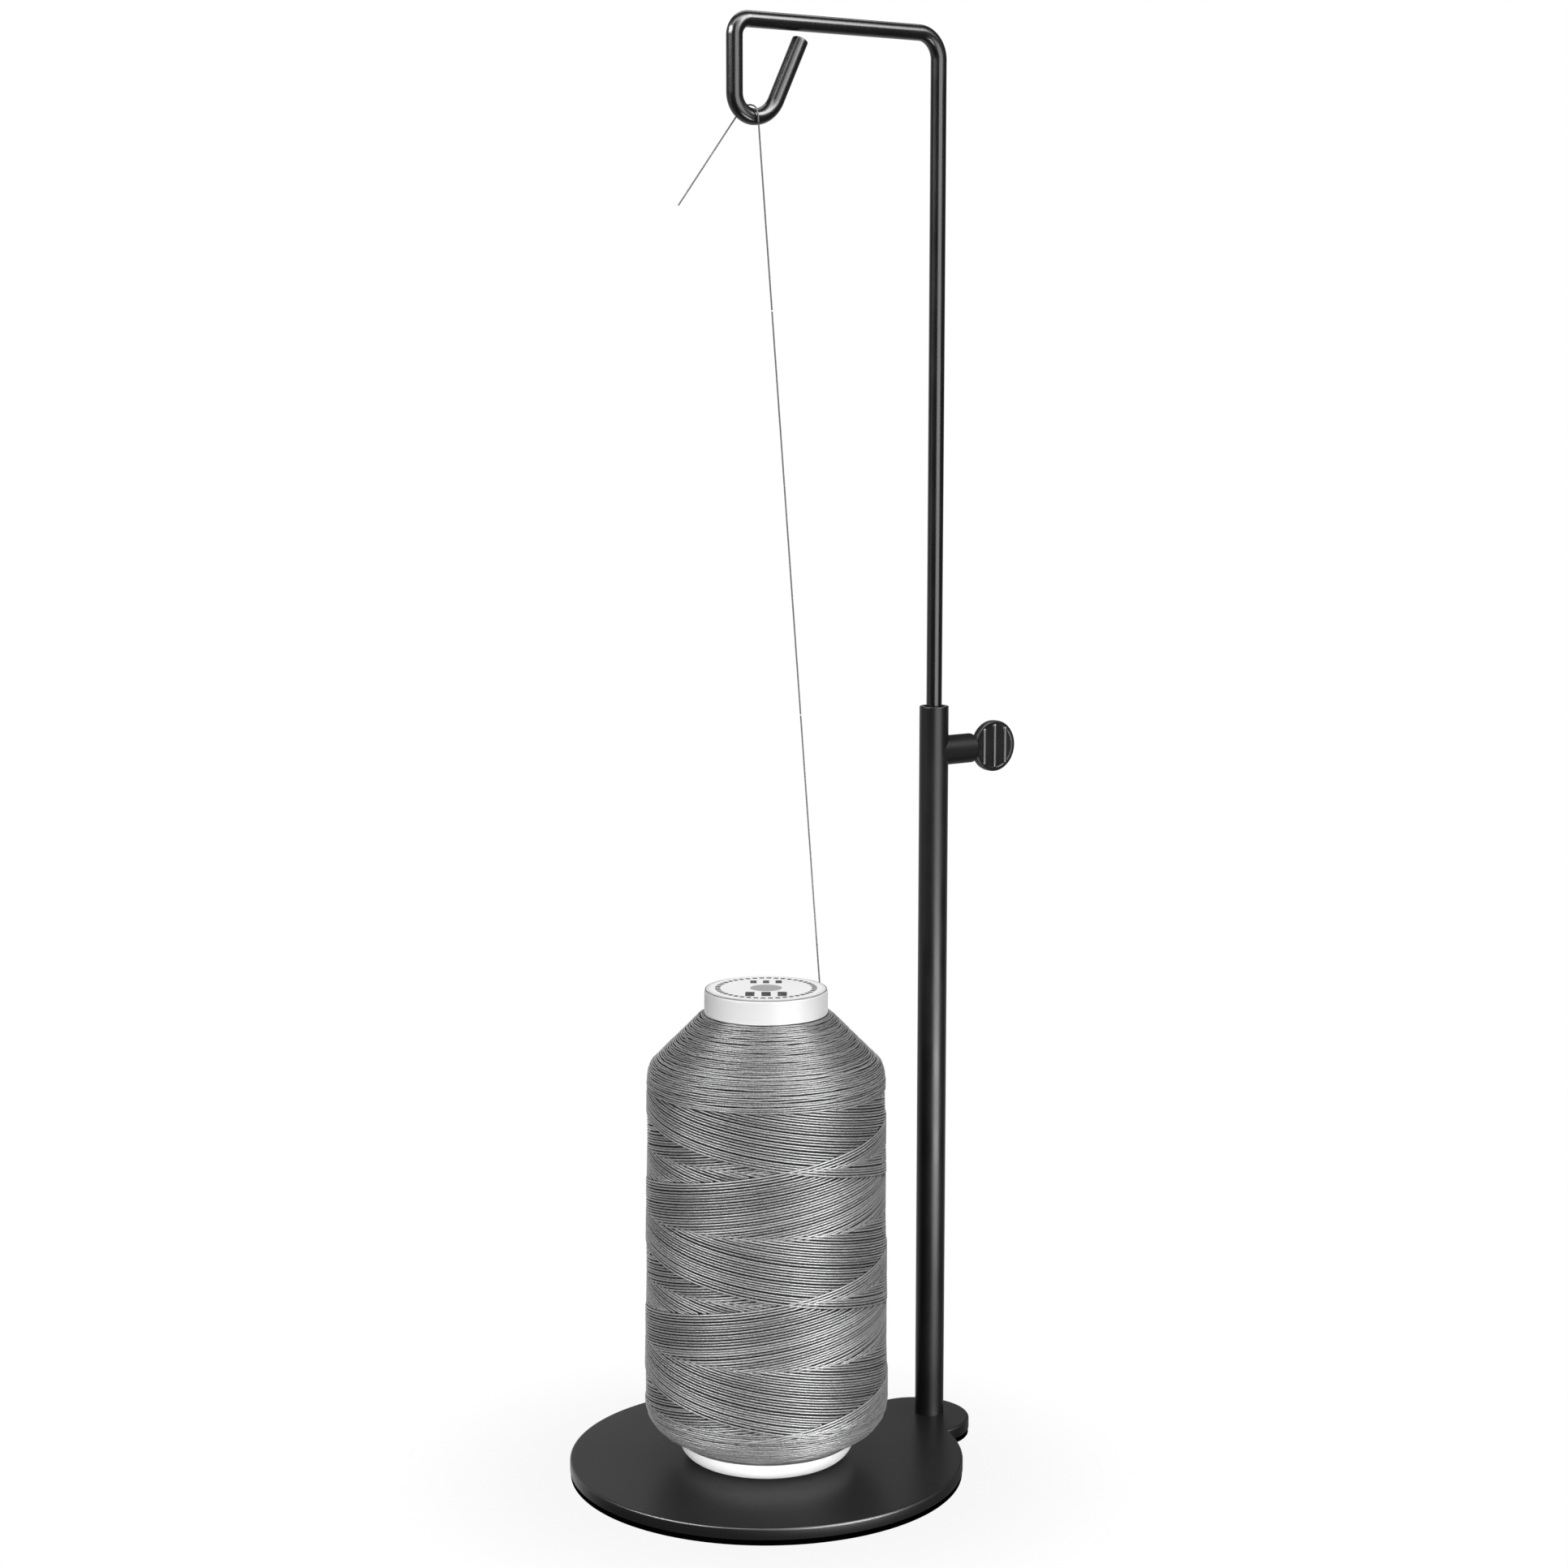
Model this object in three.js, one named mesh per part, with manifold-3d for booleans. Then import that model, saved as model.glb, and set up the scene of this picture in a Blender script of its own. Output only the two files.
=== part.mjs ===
// A thread spool holder: a heavy disc with a pin for the spool, and a post whose rod slides up and down
// and ends in a hook that leads the thread off the top of the spool. The spool is on the pin and its
// thread runs over the hook, as in the photograph.
// Millimetres, +Z up. The origin is on the table under the disc's centre, the post stands on +Y,
// and the arm reaches back over the disc towards -Y.
import * as THREE from "three";
import { mergeVertices } from "three/addons/utils/BufferGeometryUtils.js";
import Module from "manifold-3d";

const wasm = await Module();
wasm.setup();

// Base: a painted steel plate on a thin rubber pad, a disc with a small round lobe for the post.
const DISC_RADIUS = 50;
const LOBE_RADIUS = 13.95;
const LOBE_SETBACK = 4.45; // the lobe's centre lies this far inside the post's axis
const PLATE_THICKNESS = 2.9;
const PLATE_EDGE = 0.35;
const PAD_THICKNESS = 1.45;
const PAD_INSET = 0.15;
const PAD_EDGE = 0.2;

// Post: a tube screwed down from below, with a side boss for the clamp screw.
const POST_OUTSIDE_DISC = 2.75;
const TUBE_RADIUS = 3.75;
const TUBE_WALL = 1;
const TUBE_LENGTH = 188.3;
const TUBE_EDGE = 0.25;
const PLUG_LENGTH = 14;
const BOSS_RADIUS = 3.8;
const BOSS_REACH = 12.2; // from the post's axis
const BOSS_EDGE = 0.2;
const CLAMP_BELOW_TOP = 11.75;

// Countersunk screws that hold the post and the pin from under the plate.
const SCREW_RADIUS = 1.5;
const SCREW_HEAD_RADIUS = 3;
const SCREW_HEAD_HEIGHT = 1.6;
const SCREW_LENGTH = 11;
const SCREW_SOCKET_RADIUS = 1;
const SCREW_SOCKET_DEPTH = 1;

// Clamp: a thumb screw with a flat coin head, and a nylon tip that presses on the rod.
const CLAMP_SCREW_RADIUS = 2;
const CLAMP_TIP_RADIUS = 1.5;
const CLAMP_TIP_LENGTH = 2;
const COIN_RADIUS = 6.63;
const COIN_THICKNESS = 1.6;
const COIN_EDGE = 0.25;
const COIN_OFF_BOSS = 0.75;
const COIN_TAPER = 2.4; // how far the shank tapers into the coin
const RIB_COUNT = 3;
const RIB_SPACING = 3.45;
const RIB_WIDTH = 1.1;
const RIB_HEIGHT = 0.5;
const RIB_END_MARGIN = 0.9;

// Rod and hook: one bent round bar, whose lower end turns in a split nylon bush.
const ROD_RADIUS = 2;
const ROD_IN_TUBE = 62;
const MAST_EXTENSION = 167.95; // from the tube's top to the arm's centreline
const HOOK_LEG_PAST_CENTRE = 8.95;
const HOOK_DROP = 22.7; // from the arm's centreline to the hook's lowest centreline point
const POST_BEND_RADIUS = 6.3;
const LEG_BEND_RADIUS = 4;
const HOOK_FRONT_RADIUS = 5.5;
const HOOK_BACK_RADIUS = 7.3;
const TAIL_LEAN = THREE.MathUtils.degToRad(26.2);
const TAIL_END_BELOW_ARM = 3.9;
const ROD_EDGE = 0.3;
const ROD_FOOT = 1.5; // the full-width end under the bush
const NECK_RADIUS = 1.4;
const BUSH_LENGTH = 12;
const BUSH_SLOT = 0.8;

// Spool pin.
const PIN_RADIUS = 3;
const PIN_HEIGHT = 66;
const PIN_TIP = 1.2;

// Spool: heights are above the plate.
const CORE_RADIUS = 11;
const CORE_WALL = 1.4;
const CORE_HOLE_PLAY = 0.5; // between the pin and the hole in the spool's foot
const CORE_WEB = 3;
const CORE_HEIGHT = 119.55;
const FOOT_RADIUS = 22.2;
const FOOT_CONTACT_RADIUS = 17.5;
const FOOT_HEIGHT = 4.35;
const CAP_RADIUS = 15.45;
const CAP_WALL = 1.3;
const CAP_TOP = 1.3;
const CAP_SKIRT = 6.1;
const CAP_EDGE = 0.6;
const LABEL_MARGIN = 0.85;
const LABEL_THICKNESS = 0.2;

// Thread package: its outer layer is a real winding over a plain body.
const CAP_OFF_PACKAGE = 0.4;
const PACKAGE_TOP_STEP = 1.55; // how far the package's flat top shows past the cap
const PACKAGE_TOP_RADIUS = 30.05;
const PACKAGE_BOTTOM_RADIUS = 30.95;
const PACKAGE_CORNER = 8;
const SHOULDER_HEIGHT = 103.03; // above the plate, where the cone under the cap starts
const THREAD_RADIUS = 0.2;
const TRAVERSES = 6;
const TURNS_PER_TRAVERSE = 23 / TRAVERSES;
const WINDING_BOTTOM = 15;
const TURN_BACK = THREE.MathUtils.degToRad(45); // half the angle over which a traverse turns back
const LAYER_CHANGE = THREE.MathUtils.degToRad(40); // half the angle over which it changes layer
const WINDING_SELF_GAP = 0.22; // besides the dip of the outer layer's chords
const LOOP_STEPS = 24;
const LOOP_SIDES = 6;
const LEAD_BEND = 2; // size of the bend in which the thread leaves the package

// The free thread, from the package's shoulder over the hook to its cut end: points chosen by hand,
// which the scene repeats.
const THREAD_LOWER = [
  [-12.32, 27.03, 104.3],
  [-10.71, 23.68, 129.6],
  [-9.1, 20.33, 154.9],
  [-7.38, 16.75, 182],
];
const THREAD_MIDDLE = [
  [-7.36, 16.71, 182.3],
  [-4.95, 11.7, 220.2],
  [-2.54, 6.69, 258.1],
  [-0.38, 2.2, 292],
];
const THREAD_UPPER = [
  [-0.36, 2.16, 292.3],
  [0.54, 0.28, 306.5],
  [1.5, -1.72, 321.6],
  [2.42, -3.63, 336.1],
];
const THREAD_TAIL = [
  [2.44, -3.67, 336.4],
  [2.5, -3.8, 337.2],
  [2.52, -3.92, 338.4],
  [1.9, -4.12, 339.95],
  [0, -4.45, 340.65],
  [-1.9, -4.95, 340.3],
  [-2.5, -5.72, 339.24],
  [-2.5, -7.25, 337.28],
  [-2.5, -12.6, 330.43],
  [-2.5, -18, 323.51],
  [-2.5, -23.39, 316.61],
];

// Clearances and how finely round shapes are cut.
const RUNNING_FIT = 0.08;
const SCREW_FIT = 0.1;
const WELD_GAP = 0.05;
const SOFT_GAP = 0.3;
const DISC_SIDES = 80;
const SPOOL_SIDES = 48;
const TUBE_SIDES = 24;
const ROD_SIDES = 16;
const CORD_SIDES = 8;
const RUN_STEPS = 9;
const TAIL_STEPS = 36;
const BEND_STEP = THREE.MathUtils.degToRad(15);
const CORNER_STEPS = 5;
const CUT_PAST = 1; // how far a cutter runs past the faces it opens
const MERGE_TOLERANCE = 1e-4;
const MEASURE_STEP = 0.5;

// Places that several pieces share.
const plateBottom = PAD_THICKNESS;
const plateTop = plateBottom + PLATE_THICKNESS;
const postY = DISC_RADIUS + POST_OUTSIDE_DISC;
const tubeTop = plateTop + TUBE_LENGTH;
const boreRadius = TUBE_RADIUS - TUBE_WALL;
const clampZ = tubeTop - CLAMP_BELOW_TOP;
const clampHoleRadius = CLAMP_SCREW_RADIUS + SCREW_FIT;
const armZ = tubeTop + MAST_EXTENSION;
const capTop = CORE_HEIGHT + CAP_TOP;
const packageTop = capTop - CAP_SKIRT - CAP_OFF_PACKAGE;
const windingTop = THREAD_LOWER[0][2] - LEAD_BEND - plateTop;

const holder = new THREE.Group();
const base = groupAt(0, 0, 0);
const post = groupAt(0, postY, 0);
const clamp = groupAt(0, postY, clampZ);
const spool = groupAt(0, 0, plateTop);
const thread = groupAt(0, 0, 0);

function groupAt(x, y, z) {
  const group = new THREE.Group();
  group.position.set(x, y, z);
  holder.add(group);
  return group;
}

function finish(color, roughness, metalness) {
  return new THREE.MeshStandardMaterial({ color, roughness, metalness });
}

const blackPaint = () => finish(0x0d0d0e, 0.38, 0.2);
const satinPaint = () => finish(0x131314, 0.42, 0.25);
const blackRubber = () => finish(0x060606, 0.85, 0);
const plainSteel = () => finish(0x8f9194, 0.35, 1);
const nylon = () => finish(0xd9d6cc, 0.5, 0);
const whitePlastic = () => finish(0xececec, 0.35, 0);
const paper = () => finish(0xf2f2f0, 0.7, 0);
const greyThread = () => finish(0x8c8d8f, 0.65, 0);

function addPiece(group, name, geometry, material) {
  const mesh = new THREE.Mesh(geometry, material);
  mesh.name = name;
  group.add(mesh);
}

// A piece turned about +Z, from the [radius, height] points of its outline, the outer side going up.
function turned(profile, sides) {
  const outline = profile.map(([radius, height]) => new THREE.Vector2(radius, height));
  return new THREE.LatheGeometry(outline, sides).rotateX(Math.PI / 2);
}

// The same piece laid down, so that it is turned about +Y.
function layAlongY(geometry) {
  return geometry.rotateX(-Math.PI / 2);
}

function solidOf(geometry) {
  const bare = geometry.clone();
  bare.deleteAttribute("normal");
  bare.deleteAttribute("uv");
  const merged = mergeVertices(bare, MERGE_TOLERANCE);
  return new wasm.Manifold(
    new wasm.Mesh({
      numProp: 3,
      vertProperties: merged.attributes.position.array,
      triVerts: new Uint32Array(merged.index.array),
    }),
  );
}

function geometryOf(solid) {
  const mesh = solid.getMesh();
  const geometry = new THREE.BufferGeometry();
  geometry.setAttribute("position", new THREE.BufferAttribute(mesh.vertProperties, 3));
  geometry.setIndex(new THREE.BufferAttribute(mesh.triVerts, 1));
  return geometry;
}

function cylinderSolid(radius, bottom, top, sides = TUBE_SIDES) {
  const profile = [
    [0, bottom],
    [radius, bottom],
    [radius, top],
    [0, top],
  ];
  return solidOf(turned(profile, sides));
}

// One closed tube through the stations, each with its centre, its direction along the tube,
// a side direction square to that, and its radius.
function sweptTube(stations, sides) {
  const positions = [];
  for (const { centre, along, side, radius } of stations) {
    const other = along.clone().cross(side);
    for (let i = 0; i < sides; i++) {
      const angle = (2 * Math.PI * i) / sides;
      const point = centre
        .clone()
        .addScaledVector(side, radius * Math.cos(angle))
        .addScaledVector(other, radius * Math.sin(angle));
      positions.push(point.x, point.y, point.z);
    }
  }
  const faces = [];
  const lastRing = (stations.length - 1) * sides;
  for (let ring = 0; ring < lastRing; ring += sides)
    for (let i = 0; i < sides; i++) {
      const next = (i + 1) % sides;
      faces.push(ring + i, ring + next, ring + sides + next);
      faces.push(ring + i, ring + sides + next, ring + sides + i);
    }
  for (let i = 1; i < sides - 1; i++) {
    faces.push(0, i + 1, i);
    faces.push(lastRing, lastRing + i, lastRing + i + 1);
  }
  const geometry = new THREE.BufferGeometry();
  geometry.setAttribute("position", new THREE.Float32BufferAttribute(positions, 3));
  geometry.setIndex(faces);
  return geometry;
}

// A screw hole and its countersink, cut upwards from a face at the given height.
function countersunkCut(bottom, top) {
  const head = SCREW_HEAD_RADIUS + SCREW_FIT;
  const shank = SCREW_RADIUS + SCREW_FIT;
  const profile = [
    [0, bottom - CUT_PAST],
    [head, bottom - CUT_PAST],
    [head, bottom],
    [shank, bottom + SCREW_HEAD_HEIGHT],
    [shank, top],
    [0, top],
  ];
  return solidOf(turned(profile, TUBE_SIDES));
}

// A disc with the post's lobe, its upper edge eased, from one height to another.
function discWithLobe(inset, bottom, top, edge) {
  const blank = (radius) =>
    solidOf(
      turned(
        [
          [0, bottom],
          [radius, bottom],
          [radius, top - edge],
          [radius - edge, top],
          [0, top],
        ],
        DISC_SIDES,
      ),
    );
  const lobe = blank(LOBE_RADIUS - inset).translate([0, postY - LOBE_SETBACK, 0]);
  return blank(DISC_RADIUS - inset).add(lobe);
}

function addBase() {
  const plate = discWithLobe(0, plateBottom, plateTop, PLATE_EDGE)
    .subtract(countersunkCut(plateBottom, plateTop + CUT_PAST))
    .subtract(countersunkCut(plateBottom, plateTop + CUT_PAST).translate([0, postY, 0]));
  addPiece(base, "base_plate", geometryOf(plate), blackPaint());
  addPiece(base, "base_pad", geometryOf(discWithLobe(PAD_INSET, 0, plateBottom, PAD_EDGE)), blackRubber());
}

function countersunkScrew() {
  const head = plateBottom + SCREW_HEAD_HEIGHT;
  const shape = [
    [0, plateBottom + SCREW_SOCKET_DEPTH],
    [SCREW_SOCKET_RADIUS, plateBottom + SCREW_SOCKET_DEPTH],
    [SCREW_SOCKET_RADIUS, plateBottom],
    [SCREW_HEAD_RADIUS, plateBottom],
    [SCREW_RADIUS, head],
    [SCREW_RADIUS, plateBottom + SCREW_LENGTH],
    [0, plateBottom + SCREW_LENGTH],
  ];
  return turned(shape, TUBE_SIDES);
}

// The tapped hole, from below, that takes a countersunk screw.
function tappedCut() {
  return cylinderSolid(SCREW_RADIUS + SCREW_FIT, plateTop - CUT_PAST, plateBottom + SCREW_LENGTH + SCREW_FIT);
}

function addPin() {
  const pinTop = plateTop + PIN_HEIGHT;
  const profile = [
    [0, plateTop],
    [PIN_RADIUS, plateTop],
    [PIN_RADIUS, pinTop - PIN_TIP],
    [PIN_RADIUS - PIN_TIP, pinTop],
    [0, pinTop],
  ];
  const pin = solidOf(turned(profile, TUBE_SIDES)).subtract(tappedCut());
  addPiece(base, "spool_pin", geometryOf(pin), plainSteel());
  addPiece(base, "pin_screw", countersunkScrew(), plainSteel());
}

function addPost() {
  const profile = [
    [boreRadius, plateTop],
    [TUBE_RADIUS, plateTop],
    [TUBE_RADIUS, tubeTop - TUBE_EDGE],
    [TUBE_RADIUS - TUBE_EDGE, tubeTop],
    [boreRadius, tubeTop],
    [boreRadius, plateTop],
  ];
  const crossHole = solidOf(
    layAlongY(
      turned(
        [
          [0, 0],
          [clampHoleRadius, 0],
          [clampHoleRadius, TUBE_RADIUS + CUT_PAST],
          [0, TUBE_RADIUS + CUT_PAST],
        ],
        TUBE_SIDES,
      ),
    ),
  ).translate([0, 0, clampZ]);
  const tube = solidOf(turned(profile, TUBE_SIDES)).subtract(crossHole);
  addPiece(post, "post_tube", geometryOf(tube), satinPaint());

  const plug = cylinderSolid(boreRadius - WELD_GAP, plateTop, plateTop + PLUG_LENGTH).subtract(tappedCut());
  addPiece(post, "post_plug", geometryOf(plug), plainSteel());
  addPiece(post, "post_screw", countersunkScrew(), plainSteel());
}

// The boss is a short tapped barrel, saddled round the post and welded to it.
function addBoss() {
  const profile = [
    [clampHoleRadius, 0],
    [BOSS_RADIUS, 0],
    [BOSS_RADIUS, BOSS_REACH - BOSS_EDGE],
    [BOSS_RADIUS - BOSS_EDGE, BOSS_REACH],
    [clampHoleRadius, BOSS_REACH],
    [clampHoleRadius, 0],
  ];
  const saddle = cylinderSolid(TUBE_RADIUS + WELD_GAP, -BOSS_RADIUS - CUT_PAST, BOSS_RADIUS + CUT_PAST);
  const barrel = solidOf(layAlongY(turned(profile, TUBE_SIDES))).subtract(saddle);
  addPiece(clamp, "clamp_boss", geometryOf(barrel), satinPaint());
}

function coinRib(side, offset) {
  const reach = Math.sqrt((COIN_RADIUS - RIB_END_MARGIN) ** 2 - offset ** 2);
  const outline = new THREE.Shape();
  outline.moveTo(-RIB_WIDTH / 2, 0);
  outline.lineTo(RIB_WIDTH / 2, 0);
  outline.lineTo(RIB_WIDTH / 4, RIB_HEIGHT + COIN_THICKNESS / 2);
  outline.lineTo(-RIB_WIDTH / 4, RIB_HEIGHT + COIN_THICKNESS / 2);
  outline.closePath();
  const bar = new THREE.ExtrudeGeometry(outline, { depth: 2 * reach, bevelEnabled: false });
  bar.translate(0, 0, -reach).rotateZ((-side * Math.PI) / 2);
  return solidOf(bar).translate([0, offset, 0]);
}

function addClamp() {
  const tipStart = ROD_RADIUS + RUNNING_FIT;
  const tipEnd = tipStart + CLAMP_TIP_LENGTH;
  const tip = turned(
    [
      [0, tipStart],
      [CLAMP_TIP_RADIUS, tipStart],
      [CLAMP_TIP_RADIUS, tipEnd],
      [0, tipEnd],
    ],
    TUBE_SIDES,
  );
  addPiece(clamp, "clamp_tip", layAlongY(tip), nylon());

  const coinStart = BOSS_REACH + COIN_OFF_BOSS;
  const shank = turned(
    [
      [0, tipEnd + RUNNING_FIT],
      [CLAMP_SCREW_RADIUS, tipEnd + RUNNING_FIT],
      [CLAMP_SCREW_RADIUS, coinStart],
      [COIN_THICKNESS / 2, coinStart + COIN_TAPER],
      [0, coinStart + COIN_TAPER],
    ],
    TUBE_SIDES,
  );
  const half = COIN_THICKNESS / 2;
  const coin = turned(
    [
      [0, -half],
      [COIN_RADIUS - COIN_EDGE, -half],
      [COIN_RADIUS, COIN_EDGE - half],
      [COIN_RADIUS, half - COIN_EDGE],
      [COIN_RADIUS - COIN_EDGE, half],
      [0, half],
    ],
    SPOOL_SIDES,
  ).rotateY(Math.PI / 2);
  let head = solidOf(coin);
  for (const side of [1, -1])
    for (let i = 0; i < RIB_COUNT; i++)
      head = head.add(coinRib(side, (i - (RIB_COUNT - 1) / 2) * RIB_SPACING));
  const screw = solidOf(layAlongY(shank)).add(head.translate([0, coinStart + COIN_RADIUS, 0]));
  addPiece(clamp, "thumb_screw", geometryOf(screw), satinPaint());
}

// The rod's stations in the YZ plane, from the post's axis: straight up from the tube, back along the arm,
// down the front leg, round the two-radius hook and up its leaning tail.
function rodStations() {
  const stations = [];
  const across = new THREE.Vector3(1, 0, 0);
  const push = (y, z, heading, radius = ROD_RADIUS) =>
    stations.push({
      centre: new THREE.Vector3(0, y, z),
      along: new THREE.Vector3(0, Math.cos(heading), Math.sin(heading)),
      side: across,
      radius,
    });
  const bend = (centreY, centreZ, radius, from, to) => {
    const steps = Math.ceil(Math.abs(to - from) / BEND_STEP);
    for (let i = 0; i <= steps; i++) {
      const angle = from + ((to - from) * i) / steps;
      push(centreY + radius * Math.cos(angle), centreZ + radius * Math.sin(angle), angle + Math.PI / 2);
    }
  };
  const up = Math.PI / 2;
  const foot = tubeTop - ROD_IN_TUBE;
  const neckBottom = foot + ROD_FOOT;
  const neckTop = neckBottom + BUSH_LENGTH + 2 * RUNNING_FIT;
  push(0, foot, up, ROD_RADIUS - ROD_EDGE);
  push(0, foot + ROD_EDGE, up);
  push(0, neckBottom, up);
  push(0, neckBottom, up, NECK_RADIUS);
  push(0, neckTop, up, NECK_RADIUS);
  push(0, neckTop, up);
  bend(-POST_BEND_RADIUS, armZ - POST_BEND_RADIUS, POST_BEND_RADIUS, 0, up);

  const legY = -postY - HOOK_LEG_PAST_CENTRE;
  bend(legY + LEG_BEND_RADIUS, armZ - LEG_BEND_RADIUS, LEG_BEND_RADIUS, up, Math.PI);

  const hookZ = armZ - HOOK_DROP;
  const lowestY = legY + HOOK_FRONT_RADIUS;
  const down = 1.5 * Math.PI;
  bend(lowestY, hookZ + HOOK_FRONT_RADIUS, HOOK_FRONT_RADIUS, Math.PI, down);
  const tailSide = 2 * Math.PI - TAIL_LEAN;
  bend(lowestY, hookZ + HOOK_BACK_RADIUS, HOOK_BACK_RADIUS, down, tailSide);

  const last = stations[stations.length - 1];
  const tailEndZ = armZ - TAIL_END_BELOW_ARM;
  const reach = (tailEndZ - last.centre.z) / last.along.z;
  const tailEnd = last.centre.clone().addScaledVector(last.along, reach);
  const eased = last.centre.clone().addScaledVector(last.along, reach - ROD_EDGE);
  stations.push({ ...last, centre: eased });
  stations.push({ ...last, centre: tailEnd, radius: ROD_RADIUS - ROD_EDGE });
  return stations;
}

function addRod() {
  addPiece(post, "hook_rod", sweptTube(rodStations(), ROD_SIDES), satinPaint());
  const inner = NECK_RADIUS + RUNNING_FIT;
  const outer = boreRadius - RUNNING_FIT;
  const bottom = tubeTop - ROD_IN_TUBE + ROD_FOOT + RUNNING_FIT;
  const sleeve = turned(
    [
      [inner, bottom],
      [outer, bottom],
      [outer, bottom + BUSH_LENGTH],
      [inner, bottom + BUSH_LENGTH],
      [inner, bottom],
    ],
    TUBE_SIDES,
  );
  const slot = solidOf(
    new THREE.BoxGeometry(BUSH_SLOT, outer + CUT_PAST, BUSH_LENGTH + 2 * CUT_PAST).translate(
      0,
      (outer + CUT_PAST) / 2,
      bottom + BUSH_LENGTH / 2,
    ),
  );
  const bush = solidOf(sleeve).subtract(slot);
  addPiece(post, "rod_bush", geometryOf(bush), nylon());
}

// The points of a quarter-round corner, from its lower inner end to its upper outer end.
function roundedCorner(innerRadius, outerRadius, bottom, top) {
  const points = [];
  for (let i = 0; i <= CORNER_STEPS; i++) {
    const angle = (Math.PI / 2) * (i / CORNER_STEPS);
    const radius = innerRadius + (outerRadius - innerRadius) * Math.sin(angle);
    points.push([radius, top - (top - bottom) * Math.cos(angle)]);
  }
  return points;
}

function addSpool() {
  const bore = CORE_RADIUS - CORE_WALL;
  const hole = PIN_RADIUS + CORE_HOLE_PLAY;
  const bowl = roundedCorner(FOOT_CONTACT_RADIUS, FOOT_RADIUS, 0, FOOT_HEIGHT);
  const core = [
    [hole, 0],
    ...bowl,
    [CORE_RADIUS, FOOT_HEIGHT],
    [CORE_RADIUS, CORE_HEIGHT],
    [bore, CORE_HEIGHT],
    [bore, CORE_WEB],
    [hole, CORE_WEB],
    [hole, 0],
  ];
  addPiece(spool, "spool_core", turned(core, SPOOL_SIDES), whitePlastic());

  const skirtInside = CAP_RADIUS - CAP_WALL;
  const cap = [
    [0, CORE_HEIGHT],
    [skirtInside, CORE_HEIGHT],
    [skirtInside, capTop - CAP_SKIRT],
    [CAP_RADIUS, capTop - CAP_SKIRT],
    [CAP_RADIUS, capTop - CAP_EDGE],
    [CAP_RADIUS - CAP_EDGE, capTop],
    [0, capTop],
  ];
  addPiece(spool, "spool_cap", turned(cap, SPOOL_SIDES), whitePlastic());

  const labelRadius = CAP_RADIUS - LABEL_MARGIN;
  const label = [
    [0, capTop],
    [labelRadius, capTop],
    [labelRadius, capTop + LABEL_THICKNESS],
    [0, capTop + LABEL_THICKNESS],
  ];
  addPiece(spool, "spool_label", turned(label, SPOOL_SIDES), paper());
}

// The winding's two layers lie under the package's measured outside. Its chords dip inwards by
// the cosine of half a step, which each layer allows for.
const chordDip = Math.cos(Math.PI / LOOP_STEPS);

function outerLayerRadius(z) {
  const share = (z - WINDING_BOTTOM) / (windingTop - WINDING_BOTTOM);
  return THREE.MathUtils.lerp(PACKAGE_BOTTOM_RADIUS, PACKAGE_TOP_RADIUS, share) - THREAD_RADIUS;
}

function innerLayerRadius(z) {
  return outerLayerRadius(z) * chordDip - 2 * THREAD_RADIUS - WINDING_SELF_GAP;
}

function packageRadius(z) {
  return innerLayerRadius(z) * chordDip - THREAD_RADIUS - SOFT_GAP;
}

function addPackage() {
  const inner = CORE_RADIUS + SOFT_GAP;
  const bottom = FOOT_HEIGHT + SOFT_GAP;
  const cornerTop = bottom + PACKAGE_CORNER;
  const corner = roundedCorner(FOOT_RADIUS, packageRadius(cornerTop), bottom, cornerTop);
  const profile = [
    [inner, bottom],
    ...corner,
    [packageRadius(windingTop), SHOULDER_HEIGHT],
    [CAP_RADIUS + PACKAGE_TOP_STEP, packageTop],
    [inner, packageTop],
    [inner, bottom],
  ];
  addPiece(spool, "thread_package", turned(profile, SPOOL_SIDES), greyThread());
}

// How far down the winding is at a place along its traverses, from 0 at the top to 1 at the bottom,
// and which layer it is on, from 0 for the inner one going down to 1 for the outer one going up.
function traverseState(place) {
  const turn = 2 * Math.PI * TURNS_PER_TRAVERSE;
  const nearest = Math.round(place);
  const away = place - nearest;
  const turnsBack = nearest > 0 && nearest < TRAVERSES;
  const blend = TURN_BACK / turn;
  const distance = Math.abs(away);
  const eased = turnsBack && distance < blend ? (away * away + blend * blend) / (2 * blend) : distance;
  const depth = nearest % 2 === 0 ? eased : 1 - eased;
  const change = LAYER_CHANGE / turn;
  const layerAfter = nearest % 2;
  const smooth = THREE.MathUtils.smoothstep(away, -change, change);
  const layer = turnsBack ? THREE.MathUtils.lerp(1 - layerAfter, layerAfter, smooth) : Math.floor(place) % 2;
  return { depth, layer: nearest === TRAVERSES ? 1 : layer };
}

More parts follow.
